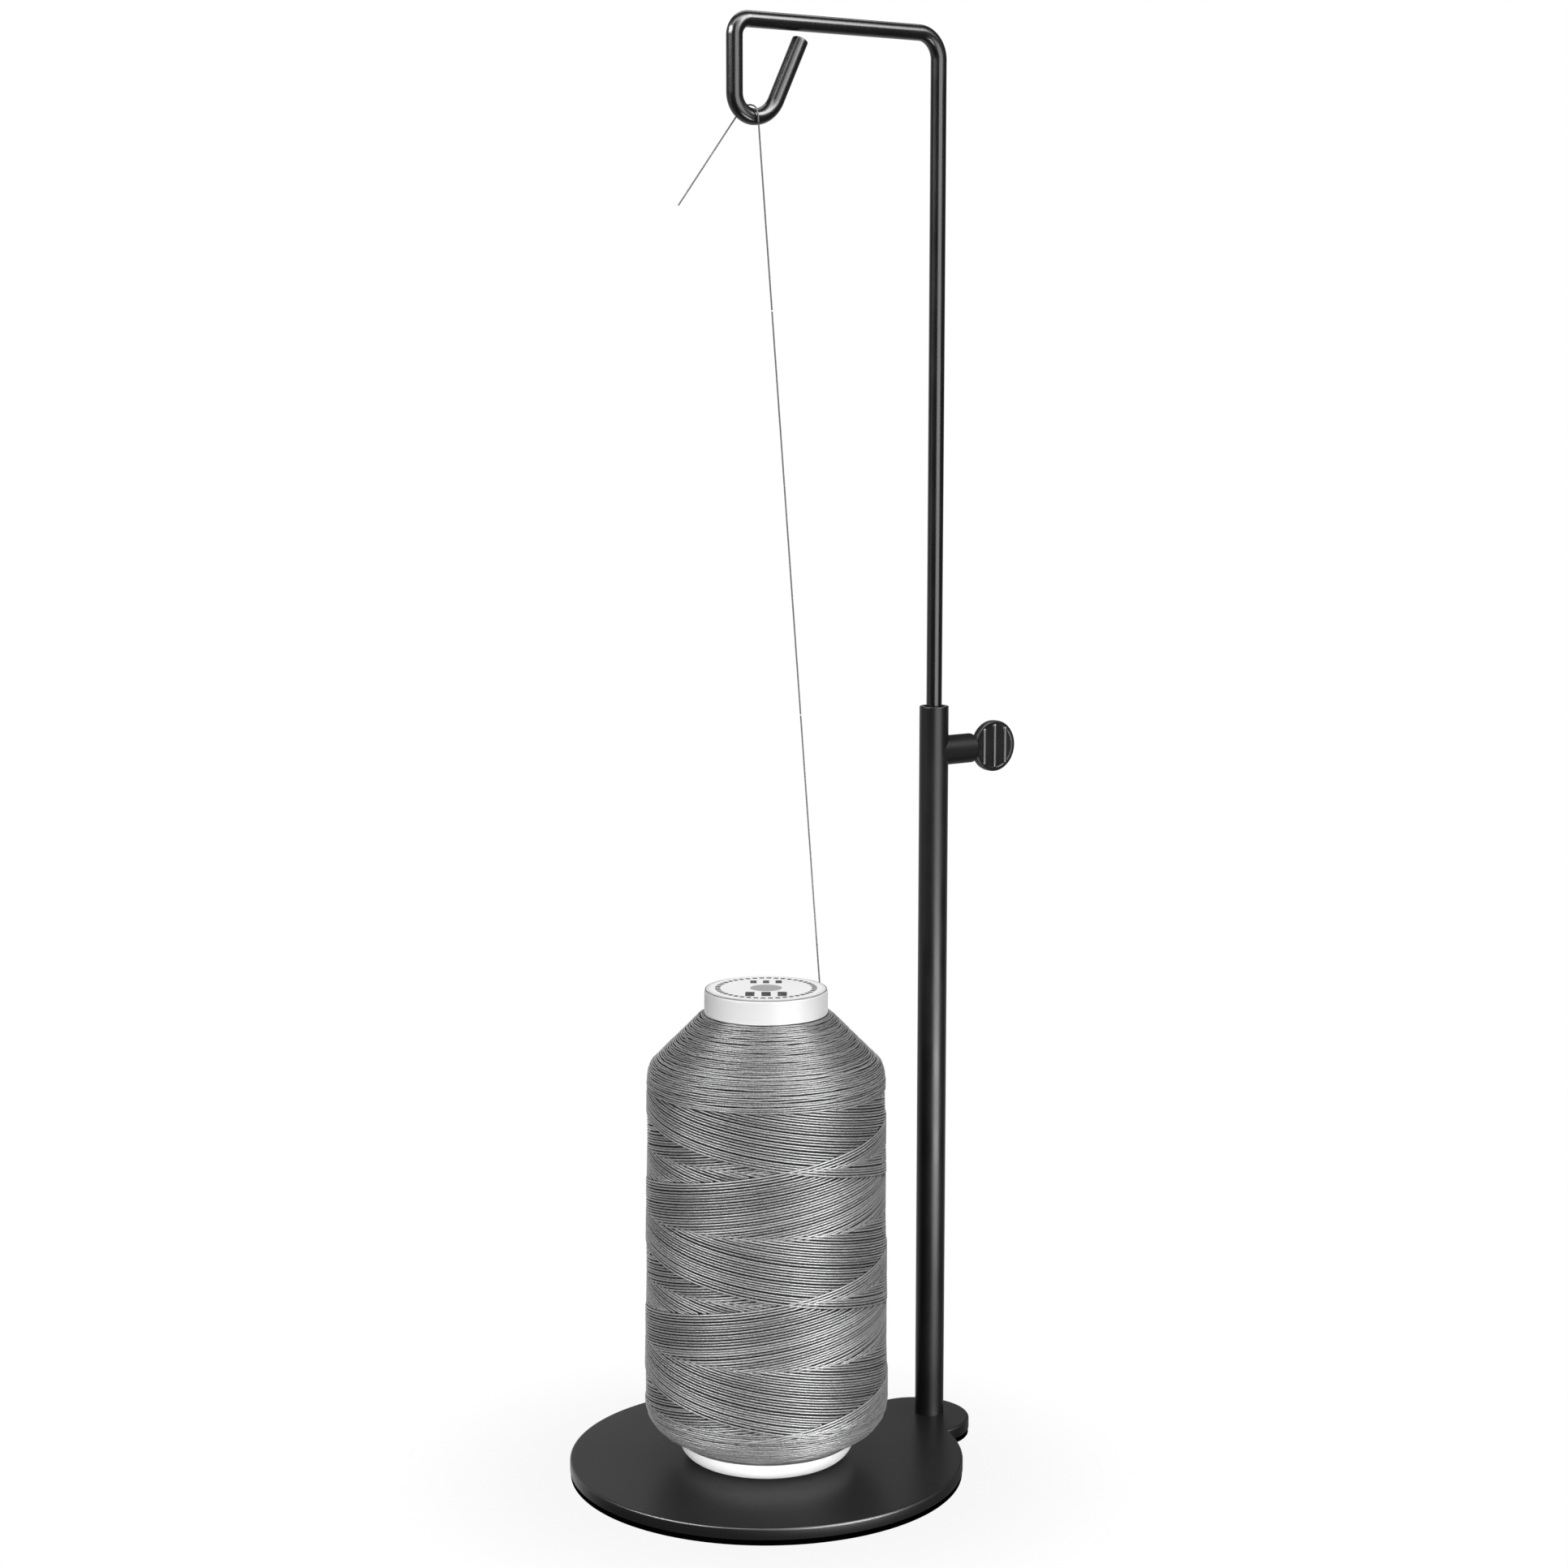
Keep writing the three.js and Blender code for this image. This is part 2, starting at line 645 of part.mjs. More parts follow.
// The winding starts square out of the package, runs down and up in turn, and ends square to the free
// thread, which carries on from it.
function windingPath() {
  const threadStart = new THREE.Vector3(...THREAD_LOWER[0]).sub(spool.position);
  const upThread = new THREE.Vector3(...THREAD_LOWER[1]).sub(spool.position).sub(threadStart).normalize();
  const end = threadStart.clone().addScaledVector(upThread, -SOFT_GAP);
  const straightStart = end.clone().addScaledVector(upThread, -2 * THREAD_RADIUS);
  const corner = straightStart.clone().addScaledVector(upThread, -LEAD_BEND);
  const lastAngle = Math.atan2(corner.y, corner.x) - LEAD_BEND / outerLayerRadius(corner.z);
  const topZ = corner.z;
  const steps = Math.round(TRAVERSES * TURNS_PER_TRAVERSE * LOOP_STEPS);
  const path = [];
  for (let i = 0; i <= steps; i++) {
    const { depth, layer } = traverseState((TRAVERSES * i) / steps);
    const z = THREE.MathUtils.lerp(topZ, WINDING_BOTTOM, depth);
    const radius = THREE.MathUtils.lerp(innerLayerRadius(z), outerLayerRadius(z), layer);
    const angle = lastAngle - ((steps - i) * 2 * Math.PI) / LOOP_STEPS;
    path.push(new THREE.Vector3(radius * Math.cos(angle), radius * Math.sin(angle), z));
  }
  const lead = new THREE.QuadraticBezierCurve3(path[path.length - 1], corner, straightStart);
  const leadSteps = 4;
  path.push(...lead.getPoints(leadSteps).slice(1), end);

  const first = path[0];
  const outward = new THREE.Vector3(first.x, first.y, 0).normalize();
  const seat = outward.clone().multiplyScalar(packageRadius(topZ) + SOFT_GAP).setZ(topZ);
  const onward = path[1].clone().sub(first).normalize();
  const lift = seat.clone().addScaledVector(outward, 2 * THREAD_RADIUS);
  path[0] = lift.clone().addScaledVector(onward, LEAD_BEND).addScaledVector(outward, THREAD_RADIUS);
  path.unshift(seat, lift);
  return path;
}

function windingStations(path) {
  return path.map((centre, i) => {
    const before = path[Math.max(i - 1, 0)];
    const after = path[Math.min(i + 1, path.length - 1)];
    const along = after.clone().sub(before).normalize();
    const side = new THREE.Vector3(0, 0, 1);
    if (Math.abs(along.z) > Math.SQRT1_2) side.set(centre.x, centre.y, 0);
    side.addScaledVector(along, -side.dot(along)).normalize();
    return { centre, along, side, radius: THREAD_RADIUS };
  });
}

// The least gap between two stretches of the winding that lie more than a quarter turn apart along it.
function leastGap(path) {
  const points = [];
  for (let i = 1; i < path.length; i++) {
    const parts = Math.ceil(path[i].distanceTo(path[i - 1]) / MEASURE_STEP);
    for (let k = 0; k < parts; k++) points.push(path[i - 1].clone().lerp(path[i], k / parts));
  }
  const apart = Math.ceil(((Math.PI / 2) * PACKAGE_TOP_RADIUS) / MEASURE_STEP);
  let least = Infinity;
  for (let i = 0; i < points.length; i++)
    for (let j = i + apart; j < points.length; j++) {
      if (Math.abs(points[i].z - points[j].z) > least) continue;
      least = Math.min(least, points[i].distanceTo(points[j]));
    }
  return least - 2 * THREAD_RADIUS;
}

function addWinding() {
  const path = windingPath();
  console.log("winding: least gap to itself " + leastGap(path).toFixed(2) + " mm");
  addPiece(spool, "thread_outer_layer", sweptTube(windingStations(path), LOOP_SIDES), greyThread());
}

// A free stretch of thread through its hand-chosen points.
function addThread(name, route, steps) {
  const curve = new THREE.CatmullRomCurve3(route.map((point) => new THREE.Vector3(...point)));
  const section = new THREE.Shape();
  for (let i = 0; i < CORD_SIDES; i++) {
    const angle = (2 * Math.PI * i) / CORD_SIDES;
    const x = THREAD_RADIUS * Math.cos(angle);
    const y = THREAD_RADIUS * Math.sin(angle);
    if (i === 0) section.moveTo(x, y);
    else section.lineTo(x, y);
  }
  section.closePath();
  const tube = new THREE.ExtrudeGeometry(section, { steps, bevelEnabled: false, extrudePath: curve });
  addPiece(thread, name, tube, greyThread());
}

addBase();
addPin();
addPost();
addBoss();
addClamp();
addRod();
addSpool();
addPackage();
addWinding();
addThread("thread_lower_run", THREAD_LOWER, RUN_STEPS);
addThread("thread_middle_run", THREAD_MIDDLE, RUN_STEPS);
addThread("thread_upper_run", THREAD_UPPER, RUN_STEPS);
addThread("thread_tail", THREAD_TAIL, TAIL_STEPS);

export default holder;
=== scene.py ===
import math

import bmesh
import bpy
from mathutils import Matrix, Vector
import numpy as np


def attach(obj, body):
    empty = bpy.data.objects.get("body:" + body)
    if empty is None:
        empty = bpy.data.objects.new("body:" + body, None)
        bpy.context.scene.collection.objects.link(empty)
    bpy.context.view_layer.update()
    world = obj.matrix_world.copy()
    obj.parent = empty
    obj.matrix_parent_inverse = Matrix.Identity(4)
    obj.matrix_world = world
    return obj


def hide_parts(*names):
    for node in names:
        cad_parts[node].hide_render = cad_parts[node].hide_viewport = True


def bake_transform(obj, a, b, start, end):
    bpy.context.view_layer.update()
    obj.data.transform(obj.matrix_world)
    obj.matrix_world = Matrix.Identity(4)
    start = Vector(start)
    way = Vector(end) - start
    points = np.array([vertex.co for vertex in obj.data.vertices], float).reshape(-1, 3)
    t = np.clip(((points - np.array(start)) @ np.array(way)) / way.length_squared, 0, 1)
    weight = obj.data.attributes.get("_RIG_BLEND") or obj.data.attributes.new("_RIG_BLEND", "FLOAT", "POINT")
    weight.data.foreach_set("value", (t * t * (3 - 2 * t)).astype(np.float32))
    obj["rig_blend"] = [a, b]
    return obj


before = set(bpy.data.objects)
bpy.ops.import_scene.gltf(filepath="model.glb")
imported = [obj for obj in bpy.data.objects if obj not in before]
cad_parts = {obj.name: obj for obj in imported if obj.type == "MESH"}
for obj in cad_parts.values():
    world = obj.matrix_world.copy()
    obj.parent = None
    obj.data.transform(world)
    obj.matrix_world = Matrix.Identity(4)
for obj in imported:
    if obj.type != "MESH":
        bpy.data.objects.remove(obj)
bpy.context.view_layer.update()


# Camera: a long lens 280 mm above the table, which looks eight degrees down on the holder from its right
# front, so that the post stands behind the spool and to its right, as in the photograph.
CAMERA_PLACE = (0.5962, -0.4190, 0.27965)
LOOKS_DOWN = 8.042
TURNED = 54.549


def linked(name, data):
    """A new object with that data, in the scene."""
    made = bpy.data.objects.new(name, data)
    bpy.context.scene.collection.objects.link(made)
    return made


view = linked("camera", bpy.data.cameras.new("camera"))
view.location = CAMERA_PLACE
view.rotation_euler = (math.radians(90 - LOOKS_DOWN), 0, math.radians(TURNED))
view.data.sensor_width = 36
view.data.lens = 68.40
view.data.clip_start = 0.02
view.data.clip_end = 30
bpy.context.scene.camera = view


# Free thread: grey polyester sewing thread of two plies, drawn off the back of the package, taut up to
# the hook, over it and down to its cut end. Its four stretches part where the holder moves, and each
# keeps the points that were chosen for it.
MM = 0.001
THREAD_RADIUS = 0.2
THREAD_STEP = 0.7
PLY_TURN = 1.1
LOWER_ROUTE = [
    (-12.32, 27.03, 104.3),
    (-10.71, 23.68, 129.6),
    (-9.1, 20.33, 154.9),
    (-7.38, 16.75, 182),
    (-6.75, 15.44, 192),
]
MIDDLE_ROUTE = [(-6.73, 15.4, 192.3), (-4.95, 11.7, 220.2), (-2.54, 6.69, 258.1), (-0.38, 2.2, 292)]
UPPER_ROUTE = [(-0.36, 2.16, 292.3), (0.54, 0.28, 306.5), (1.5, -1.72, 321.6), (2.42, -3.63, 336.1)]
TAIL_ROUTE = [
    (2.44, -3.67, 336.4),
    (2.5, -3.8, 337.2),
    (2.52, -3.92, 338.4),
    (1.9, -4.12, 339.95),
    (0, -4.45, 340.65),
    (-1.9, -4.95, 340.3),
    (-2.5, -5.72, 339.24),
    (-2.5, -7.25, 337.28),
    (-2.5, -12.6, 330.43),
    (-2.5, -18, 323.51),
    (-2.5, -23.39, 316.61),
]


class Wire:
    """One output in a node tree. Arithmetic on it, with numbers or other wires, adds Math nodes."""

    def __init__(self, graph, socket):
        self.graph = graph
        self.socket = socket

    def math(self, operation, *others):
        return self.graph.node("ShaderNodeMath", {"operation": operation}, enumerate((self, *others)))

    def also(self, name):
        """Another output of the same node."""
        return Wire(self.graph, self.socket.node.outputs[name])

    def __add__(self, other):
        return self.math("ADD", other)

    __radd__ = __add__

    def __sub__(self, other):
        return self.math("SUBTRACT", other)

    def __rsub__(self, other):
        return self.graph.node("ShaderNodeMath", {"operation": "SUBTRACT"}, {0: other, 1: self})

    def __mul__(self, other):
        return self.math("MULTIPLY", other)

    __rmul__ = __mul__

    def __truediv__(self, other):
        return self.math("DIVIDE", other)

    def __lt__(self, other):
        return self.math("LESS_THAN", other)


class Graph:
    """A node tree that is being wired."""

    place = None

    def __init__(self, tree):
        self.tree = tree

    def node(self, kind, settings=(), sockets=(), out=0):
        """Adds a node: its settings, then its sockets' values or wires. Returns the output named."""
        made = self.tree.nodes.new(kind)
        for name, value in dict(settings).items():
            setattr(made, name, value)
        for name, value in dict(sockets).items():
            if isinstance(value, Wire):
                self.tree.links.new(value.socket, made.inputs[name])
            else:
                made.inputs[name].default_value = value
        return Wire(self, made.outputs[out])

    def step(self, value, low, high, to_low=0.0, to_high=1.0):
        """Eases from to_low to to_high as value goes from low to high."""
        sockets = {0: value, 1: low, 2: high, 3: to_low, 4: to_high}
        return self.node("ShaderNodeMapRange", {"interpolation_type": "SMOOTHSTEP"}, sockets)

    def noise(self, scale, detail=3.0, place=None):
        """Cloudy noise, with scale waves to a unit of the place, which on a piece is a metre."""
        sockets = {"Vector": place or self.place, "Scale": scale, "Detail": detail}
        return self.node("ShaderNodeTexNoise", sockets=sockets)

    def vector(self, **parts):
        """The vector of the parts X, Y and Z."""
        return self.node("ShaderNodeCombineXYZ", sockets=parts)

    def part(self, vector, axis):
        """The part X, Y or Z of a vector."""
        return self.node("ShaderNodeSeparateXYZ", sockets={0: vector}, out=axis)


class Finish(Graph):
    """The procedural material of one finish."""

    def __init__(self, name, **fixed):
        self.material = bpy.data.materials.new(name)
        self.material.use_nodes = True
        super().__init__(self.material.node_tree)
        self.shader = self.tree.nodes["Principled BSDF"]
        self.place = self.node("ShaderNodeTexCoord", out="Object")
        for socket, value in fixed.items():
            self.shader.inputs[socket.replace("_", " ")].default_value = value

    def stretched(self, *scale):
        """The place on the piece, scaled along X, Y and Z."""
        return self.node("ShaderNodeMapping", sockets={"Vector": self.place, "Scale": scale})

    def attribute(self, name, out):
        """What a piece's points carry under that name."""
        return self.node("ShaderNodeAttribute", {"attribute_name": name}, out=out)

    def mix(self, share, first, second):
        """The colour between two others."""
        first, second = ((*c, 1) if isinstance(c, tuple) else c for c in (first, second))
        return self.node("ShaderNodeMix", {"data_type": "RGBA"}, {0: share, 6: first, 7: second}, out=2)

    def bump(self, height, depth, strength):
        """Relief of that depth in metres where height goes from 0 to 1."""
        sockets = {"Height": height, "Distance": depth, "Strength": strength}
        return self.node("ShaderNodeBump", sockets=sockets)

    def feed(self, **sockets):
        """Wires the finish's shader, and gives the material."""
        for socket, wire in sockets.items():
            self.tree.links.new(wire.socket, self.shader.inputs[socket.replace("_", " ")])
        return self.material


def piece(name, points, faces, material, crease=35):
    """A mesh from points in millimetres, smooth except over edges sharper than crease degrees."""
    mesh = bpy.data.meshes.new(name)
    mesh.from_pydata([Vector(point) * MM for point in points], [], faces)
    work = bmesh.new()
    work.from_mesh(mesh)
    bmesh.ops.remove_doubles(work, verts=work.verts, dist=1e-7)
    bmesh.ops.recalc_face_normals(work, faces=work.faces)
    work.to_mesh(mesh)
    work.free()
    mesh.shade_smooth()
    mesh.set_sharp_from_angle(angle=math.radians(crease))
    mesh.materials.append(material)
    return linked(name, mesh)


def skin(rings, sides, looped=False):
    """Faces over rings of points, each of that many sides. A face closes each end unless they are looped."""
    faces = []
    for ring in range(rings if looped else rings - 1):
        low, high = ring * sides, (ring + 1) % rings * sides
        for i in range(sides):
            j = (i + 1) % sides
            faces.append((low + i, low + j, high + j, high + i))
    if not looped:
        faces += [tuple(range(sides)), tuple(range((rings - 1) * sides, rings * sides))]
    return faces


def through(route):
    """Points about a thread step apart on a centripetal curve through the route's points."""
    route = [Vector(point) for point in route]
    route = [2 * route[0] - route[1], *route, 2 * route[-1] - route[-2]]
    line = []
    for before, start, end, after in zip(route, route[1:], route[2:], route[3:]):
        pairs = ((before, start), (start, end), (end, after))
        first, middle, last = (math.sqrt((b - a).length) for a, b in pairs)
        leave = (start - before) / first - (end - before) / (first + middle) + (end - start) / middle
        reach = (end - start) / middle - (after - start) / (middle + last) + (after - end) / last
        leave, reach = leave * middle, reach * middle
        steps = max(1, round((end - start).length / THREAD_STEP))
        for step in range(steps):
            t = step / steps
            line.append(
                start
                + leave * t
                + (3 * (end - start) - 2 * leave - reach) * t**2
                + (2 * (start - end) + leave + reach) * t**3
            )
    return [*line, route[-2]]


def tube(name, line, material, sides=10):
    """The thread along a line of points, its ends closed. It knows how its surface lies: lay is the
    direction round the thread, and along is the length from its start in metres."""
    points, lay, along = [], [], []
    side = (line[1] - line[0]).orthogonal().normalized()
    gone = 0
    for i, centre in enumerate(line):
        before, after = line[max(i - 1, 0)], line[min(i + 1, len(line) - 1)]
        heading = (after - before).normalized()
        side = (side - heading * side.dot(heading)).normalized()
        other = heading.cross(side)
        gone += (centre - before).length
        for k in range(sides):
            turn = 2 * math.pi * k / sides
            points.append(centre + (side * math.cos(turn) + other * math.sin(turn)) * THREAD_RADIUS)
            lay += (math.cos(turn), math.sin(turn), 0)
            along.append(gone * MM)
    made = piece(name, points, skin(len(line), sides), material, crease=60)
    attributes = made.data.attributes
    attributes.new("lay", "FLOAT_VECTOR", "POINT").data.foreach_set("vector", lay)
    attributes.new("along", "FLOAT", "POINT").data.foreach_set("value", along)
    return made


def thread_finish(name, tone, painted_glint_share, gloss, relief):
    """Two twisted plies of matt filament: helical grooves, in relief and painted darker as shade, and flecks
    of painted glint where fibres would catch the light.
    Wound thread also has a tint, from -0.5 to 0.5, that tells one turn from the next."""
    made = Finish(name, Roughness=0.3, Specular_IOR_Level=gloss)
    lay = made.attribute("lay", "Vector")
    tint = made.attribute("tint", "Fac")
    turn = made.attribute("along", "Fac") * (2 * math.pi / (PLY_TURN * MM))
    groove = made.part(lay, "X") * turn.math("COSINE") - made.part(lay, "Y") * turn.math("SINE")
    ply_relief_and_shade = made.step(groove.math("ABSOLUTE"), 0.0, 0.45)
    painted_glint = made.noise(2600, 1.0)
    cloud = made.noise(90, 2.0)
    share = made.step(painted_glint, 0.36, 0.64) * painted_glint_share + cloud * (1 - painted_glint_share)
    dark = tuple(tone * part for part in (0.42, 0.42, 0.425))
    light = tuple(tone * part for part in (1.58, 1.58, 1.59))
    # Painted light: the flecks are painted glints, and the grooves are painted darker as shade.
    colour = made.mix(share * 0.6 + ply_relief_and_shade * 0.1 + 0.175 + tint * 0.6, dark, light)
    return made.feed(Base_Color=colour, Normal=made.bump(ply_relief_and_shade, 0.05 * MM, relief))


free_thread = thread_finish("free_thread", tone=0.17, painted_glint_share=0.15, gloss=0.1, relief=0.1)
lines = [through(route) for route in (LOWER_ROUTE, MIDDLE_ROUTE, UPPER_ROUTE, TAIL_ROUTE)]
# Each stretch: its piece, the CAD nodes that it stands for, the bodies that it joins, what its far end
# is, and how it lies.
runs = [
    ("thread_from_spool", ("thread_lower_run", "thread_middle_run"), ("spool", "stand"), "object", "taut"),
    ("thread_past_cap", ("thread_middle_run",), ("stand", "rod_guide"), "object", "taut"),
    ("thread_to_hook", ("thread_upper_run",), ("rod_guide", "mast"), "object", "taut"),
    ("thread_off_hook", ("thread_tail",), ("mast",), "bare", "hanging"),
]
for line, (name, nodes, bodies, far_end, lay) in zip(lines, runs):
    run = tube(name, line, free_thread)
    if len(bodies) == 2:
        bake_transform(run, *bodies, start=line[0] * MM, end=line[-1] * MM)
    else:
        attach(run, bodies[0])
    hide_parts(*nodes)
    length = sum((b - a).length for a, b in zip(line, line[1:])) * MM
    path = [point * MM for point in line]


# Base plate: a thick disc of steel with a small round ear for the post, laser cut in one outline, its
# upper edge broken, and powder coated satin black. The pin and the post are screwed on from below.
PAD_THICKNESS = 1.45
PLATE_TOP = 4.35
DISC_RADIUS = 50
EAR_RADIUS = 13.95
EAR_Y = 48.3
POST_Y = 52.75


def outline(inset, disc_points=160, ear_points=40):
    """The plate's outline, drawn in by inset: the disc's long arc, then the ear's."""
    disc, ear = DISC_RADIUS - inset, EAR_RADIUS - inset
    meet = (EAR_Y**2 + disc**2 - ear**2) / (2 * EAR_Y)
    half_disc = math.acos(meet / disc)
    half_ear = math.acos((EAR_Y - meet) / ear)
    line = []
    for i in range(disc_points):
        turn = math.pi / 2 + half_disc + (2 * math.pi - 2 * half_disc) * i / disc_points
        line.append((disc * math.cos(turn), disc * math.sin(turn)))
    for i in range(ear_points):
        turn = -math.pi / 2 + half_ear + (2 * math.pi - 2 * half_ear) * i / ear_points
        line.append((ear * math.cos(turn), EAR_Y + ear * math.sin(turn)))
    return line


def slab(name, edge, material):
    """A plate of that outline whose edge goes through the (inset, height) points, bottom to top."""
    points = []
    for inset, height in edge:
        points += [(x, y, height) for x, y in outline(inset)]
    return piece(name, points, skin(len(edge), len(points) // len(edge)), material)


def quarter(inset, height, radius, steps, upper=False):
    """The (inset, height) points of a rounded edge, lower or upper, whose corner is at that place."""
    turns = [math.pi / 2 * i / steps for i in range(steps + 1)]
    if upper:
        return [(inset + radius * (1 - math.cos(t)), height - radius * (1 - math.sin(t))) for t in turns]
    return [(inset + radius * (1 - math.sin(t)), height + radius * (1 - math.cos(t))) for t in turns]


def edge_coat(name, gloss, smooth, rough):
    """The plate's coat where it ran thin over the cut edge: darker, with less grain."""
    made = Finish(name, Specular_IOR_Level=gloss)
    grain = made.noise(1400)
    patches = made.noise(30)
    colour = made.mix(patches, (0.004, 0.004, 0.004), (0.008, 0.008, 0.008))
    roughness = made.step(patches, 0.3, 0.7, smooth, rough)
    return made.feed(Base_Color=colour, Roughness=roughness, Normal=made.bump(grain, 0.01 * MM, 0.3))


coat = Finish("satin_black_coat", Specular_IOR_Level=0.1)
grain = coat.noise(1400)
patches = coat.noise(14)
coat_colour = coat.mix(patches, (0.01, 0.01, 0.0105), (0.015, 0.015, 0.0155))
coat_roughness = coat.step(patches, 0.3, 0.7, 0.28, 0.34) + grain * 0.04
coat = coat.feed(Base_Color=coat_colour, Roughness=coat_roughness, Normal=coat.bump(grain, 0.01 * MM, 0.3))

# The last ring, a little way in on the flat, keeps the shading of the top even.
plate_edge = [
    *quarter(0, PAD_THICKNESS, radius=0.15, steps=2),
    *quarter(0, PLATE_TOP, radius=0.5, steps=5, upper=True),
    (0.8, PLATE_TOP),
]
plate = slab("base_plate_coated", plate_edge, coat)
plate.data.materials.append(edge_coat("black_coat_on_side", gloss=0.18, smooth=0.31, rough=0.36))
plate.data.materials.append(edge_coat("black_coat_on_rim", gloss=0.3, smooth=0.3, rough=0.36))
for face in plate.data.polygons:
    flatness = abs(face.normal.z)
    if flatness < 0.1:
        face.material_index = 1
    elif flatness < 0.95:
        face.material_index = 2
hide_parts("base_plate")
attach(plate, "stand")


# Base pad: die-cut black rubber sheet of the same outline, glued under the plate so that the stand
# doesn't slide. Only its matt cut edge shows.
PAD_INSET = 0.15
rubber = Finish("black_rubber", Roughness=0.9, Specular_IOR_Level=0.0)
grain = rubber.noise(900)
bloom = rubber.noise(40)
rubber_colour = rubber.mix(bloom, (0.0003, 0.0003, 0.0003), (0.0012, 0.0012, 0.0012))
rubber = rubber.feed(Base_Color=rubber_colour, Normal=rubber.bump(grain, 0.01 * MM, 0.4))
pad_edge = [
    *quarter(PAD_INSET, 0, radius=0.2, steps=3),
    *quarter(PAD_INSET, PAD_THICKNESS, radius=0.1, steps=2, upper=True),
]
pad = slab("base_pad_rubber", pad_edge, rubber)
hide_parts("base_pad")
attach(pad, "stand")


# Post: drawn steel tube in semi-gloss black stove enamel, its cut top eased, with a plug pressed into
# its foot. The two countersunk screws under the plate, the plug and the pin are plain zinc-plated steel.
TUBE_TOP = 192.65
TUBE_RADIUS = 3.75
TUBE_BORE = 2.75


def eased(corners, steps=4, guard=1.4):
    """The corners (radius, height, ease) of an outline, each cut back by its ease and rounded. A point
    guard eases before and after each keeps the shading of the long sides even."""
    line = []
    count = len(corners)
    for i, (radius, height, ease) in enumerate(corners):
        corner = Vector((radius, height))
        if not ease:
            line.append(tuple(corner))
            continue
        before = Vector(corners[i - 1][:2]) - corner
        after = Vector(corners[(i + 1) % count][:2]) - corner
        start = corner + before.normalized() * ease
        end = corner + after.normalized() * ease
        line.append(tuple(corner + before * min(ease * guard / before.length, 0.5)))
        for step in range(steps + 1):
            t = step / steps
            line.append(tuple(start * (1 - t) ** 2 + corner * 2 * t * (1 - t) + end * t**2))
        line.append(tuple(corner + after * min(ease * guard / after.length, 0.5)))
    return line


def turned(profile, sides, place=lambda x, y, z: (x, y, z)):
    """Points and faces of an outline of (radius, height) turned about its axis, and put in its place."""
    points, rings, faces = [], [], []
    for radius, height in profile:
        count = 1 if radius == 0 else sides
        rings.append(range(len(points), len(points) + count))
        for i in range(count):
            turn = 2 * math.pi * i / sides
            points.append(place(radius * math.cos(turn), radius * math.sin(turn), height))
    closed = profile[0][0] > 0
    for k in range(len(rings) - (0 if closed else 1)):
        low, high = rings[k], rings[(k + 1) % len(rings)]
        for i in range(sides):
            j = (i + 1) % sides
            corners = [low[i % len(low)], low[j % len(low)], high[j % len(high)], high[i % len(high)]]
            faces.append(tuple(dict.fromkeys(corners)))
    return points, faces


def stove_enamel(name, gloss, smooth, rough):
    """A thin black coat: its slight ripple, and patches that have been handled smoother."""
    made = Finish(name, Specular_IOR_Level=gloss)
    ripple = made.noise(320, 2.0)
    handled = made.noise(60)
    colour = made.mix(handled, (0.002, 0.002, 0.002), (0.005, 0.005, 0.005))
    roughness = made.step(handled, 0.3, 0.7, smooth, rough)
    return made.feed(Base_Color=colour, Roughness=roughness, Normal=made.bump(ripple, 0.01 * MM, 0.02))


def refinish(node, material):
    """Gives a CAD node, which keeps its shape, its real material."""
    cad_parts[node].data.materials.clear()
    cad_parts[node].data.materials.append(material)


enamel = stove_enamel("black_enamel", gloss=0.14, smooth=0.34, rough=0.4)
wall = [
    (TUBE_BORE, PLATE_TOP, 0),
    (TUBE_RADIUS, PLATE_TOP, 0),
    (TUBE_RADIUS, TUBE_TOP, 0.3),
    (TUBE_BORE, TUBE_TOP, 0.15),
]
post_tube = turned(eased(wall), 64, lambda x, y, z: (x, y + POST_Y, z))
post = piece("post_tube_enamelled", *post_tube, enamel)
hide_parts("post_tube")
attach(post, "stand")

zinc = Finish("zinc_plate", Metallic=1.0)
marks = zinc.noise(700, place=zinc.stretched(1, 1, 9))
zinc_colour = zinc.mix(marks, (0.50, 0.51, 0.52), (0.66, 0.66, 0.66))
zinc_roughness = zinc.step(marks, 0.2, 0.8, 0.25, 0.42)
zinc = zinc.feed(Base_Color=zinc_colour, Roughness=zinc_roughness, Normal=zinc.bump(marks, 0.01 * MM, 0.4))
for node in ("spool_pin", "pin_screw", "post_plug", "post_screw"):
    refinish(node, zinc)


# Clamp: a turned barrel, saddled on the tube and welded, takes a steel thumb screw with a flat coin
# head, whose faces lie a little below their rim. Both are enamelled like the post.
CLAMP_Z = 180.9
BOSS_RADIUS = 3.8
BOSS_END = 12.2
LEAST_SEAT = 0.1
HOLE_RADIUS = 2.1
COIN_RADIUS = 6.63
COIN_THICKNESS = 1.6
COIN_CENTRE = 19.58
COIN_FACE = 5.75
RIM_RISE = 0.15
RIM_SLOPE = 0.25
SHANK_RADIUS = 2.0
SHANK_START = 4.16
SHANK_SHOULDER = BOSS_END + 0.75
SHANK_END = BOSS_END + 3.1
SHANK_END_RADIUS = COIN_THICKNESS / 2 - 0.1


def barrel(sides=64):
    """The boss: a thick tube whose inner end follows the post's round side."""
    mouth = [(BOSS_RADIUS, 0, 0), (BOSS_RADIUS, BOSS_END, 0.45), (HOLE_RADIUS, BOSS_END, 0.15)]
    rings = [(HOLE_RADIUS, None), (BOSS_RADIUS, None), *eased(mouth)[1:]]
    points = []
    for radius, reach in rings:
        for i in range(sides):
            turn = 2 * math.pi * i / sides
            x, z = radius * math.cos(turn), radius * math.sin(turn)
            seat = math.sqrt(max(TUBE_RADIUS**2 - x**2, LEAST_SEAT**2))
            points.append((x, POST_Y + (seat if reach is None else reach), CLAMP_Z + z))
    return points, skin(len(rings), sides, looped=True)


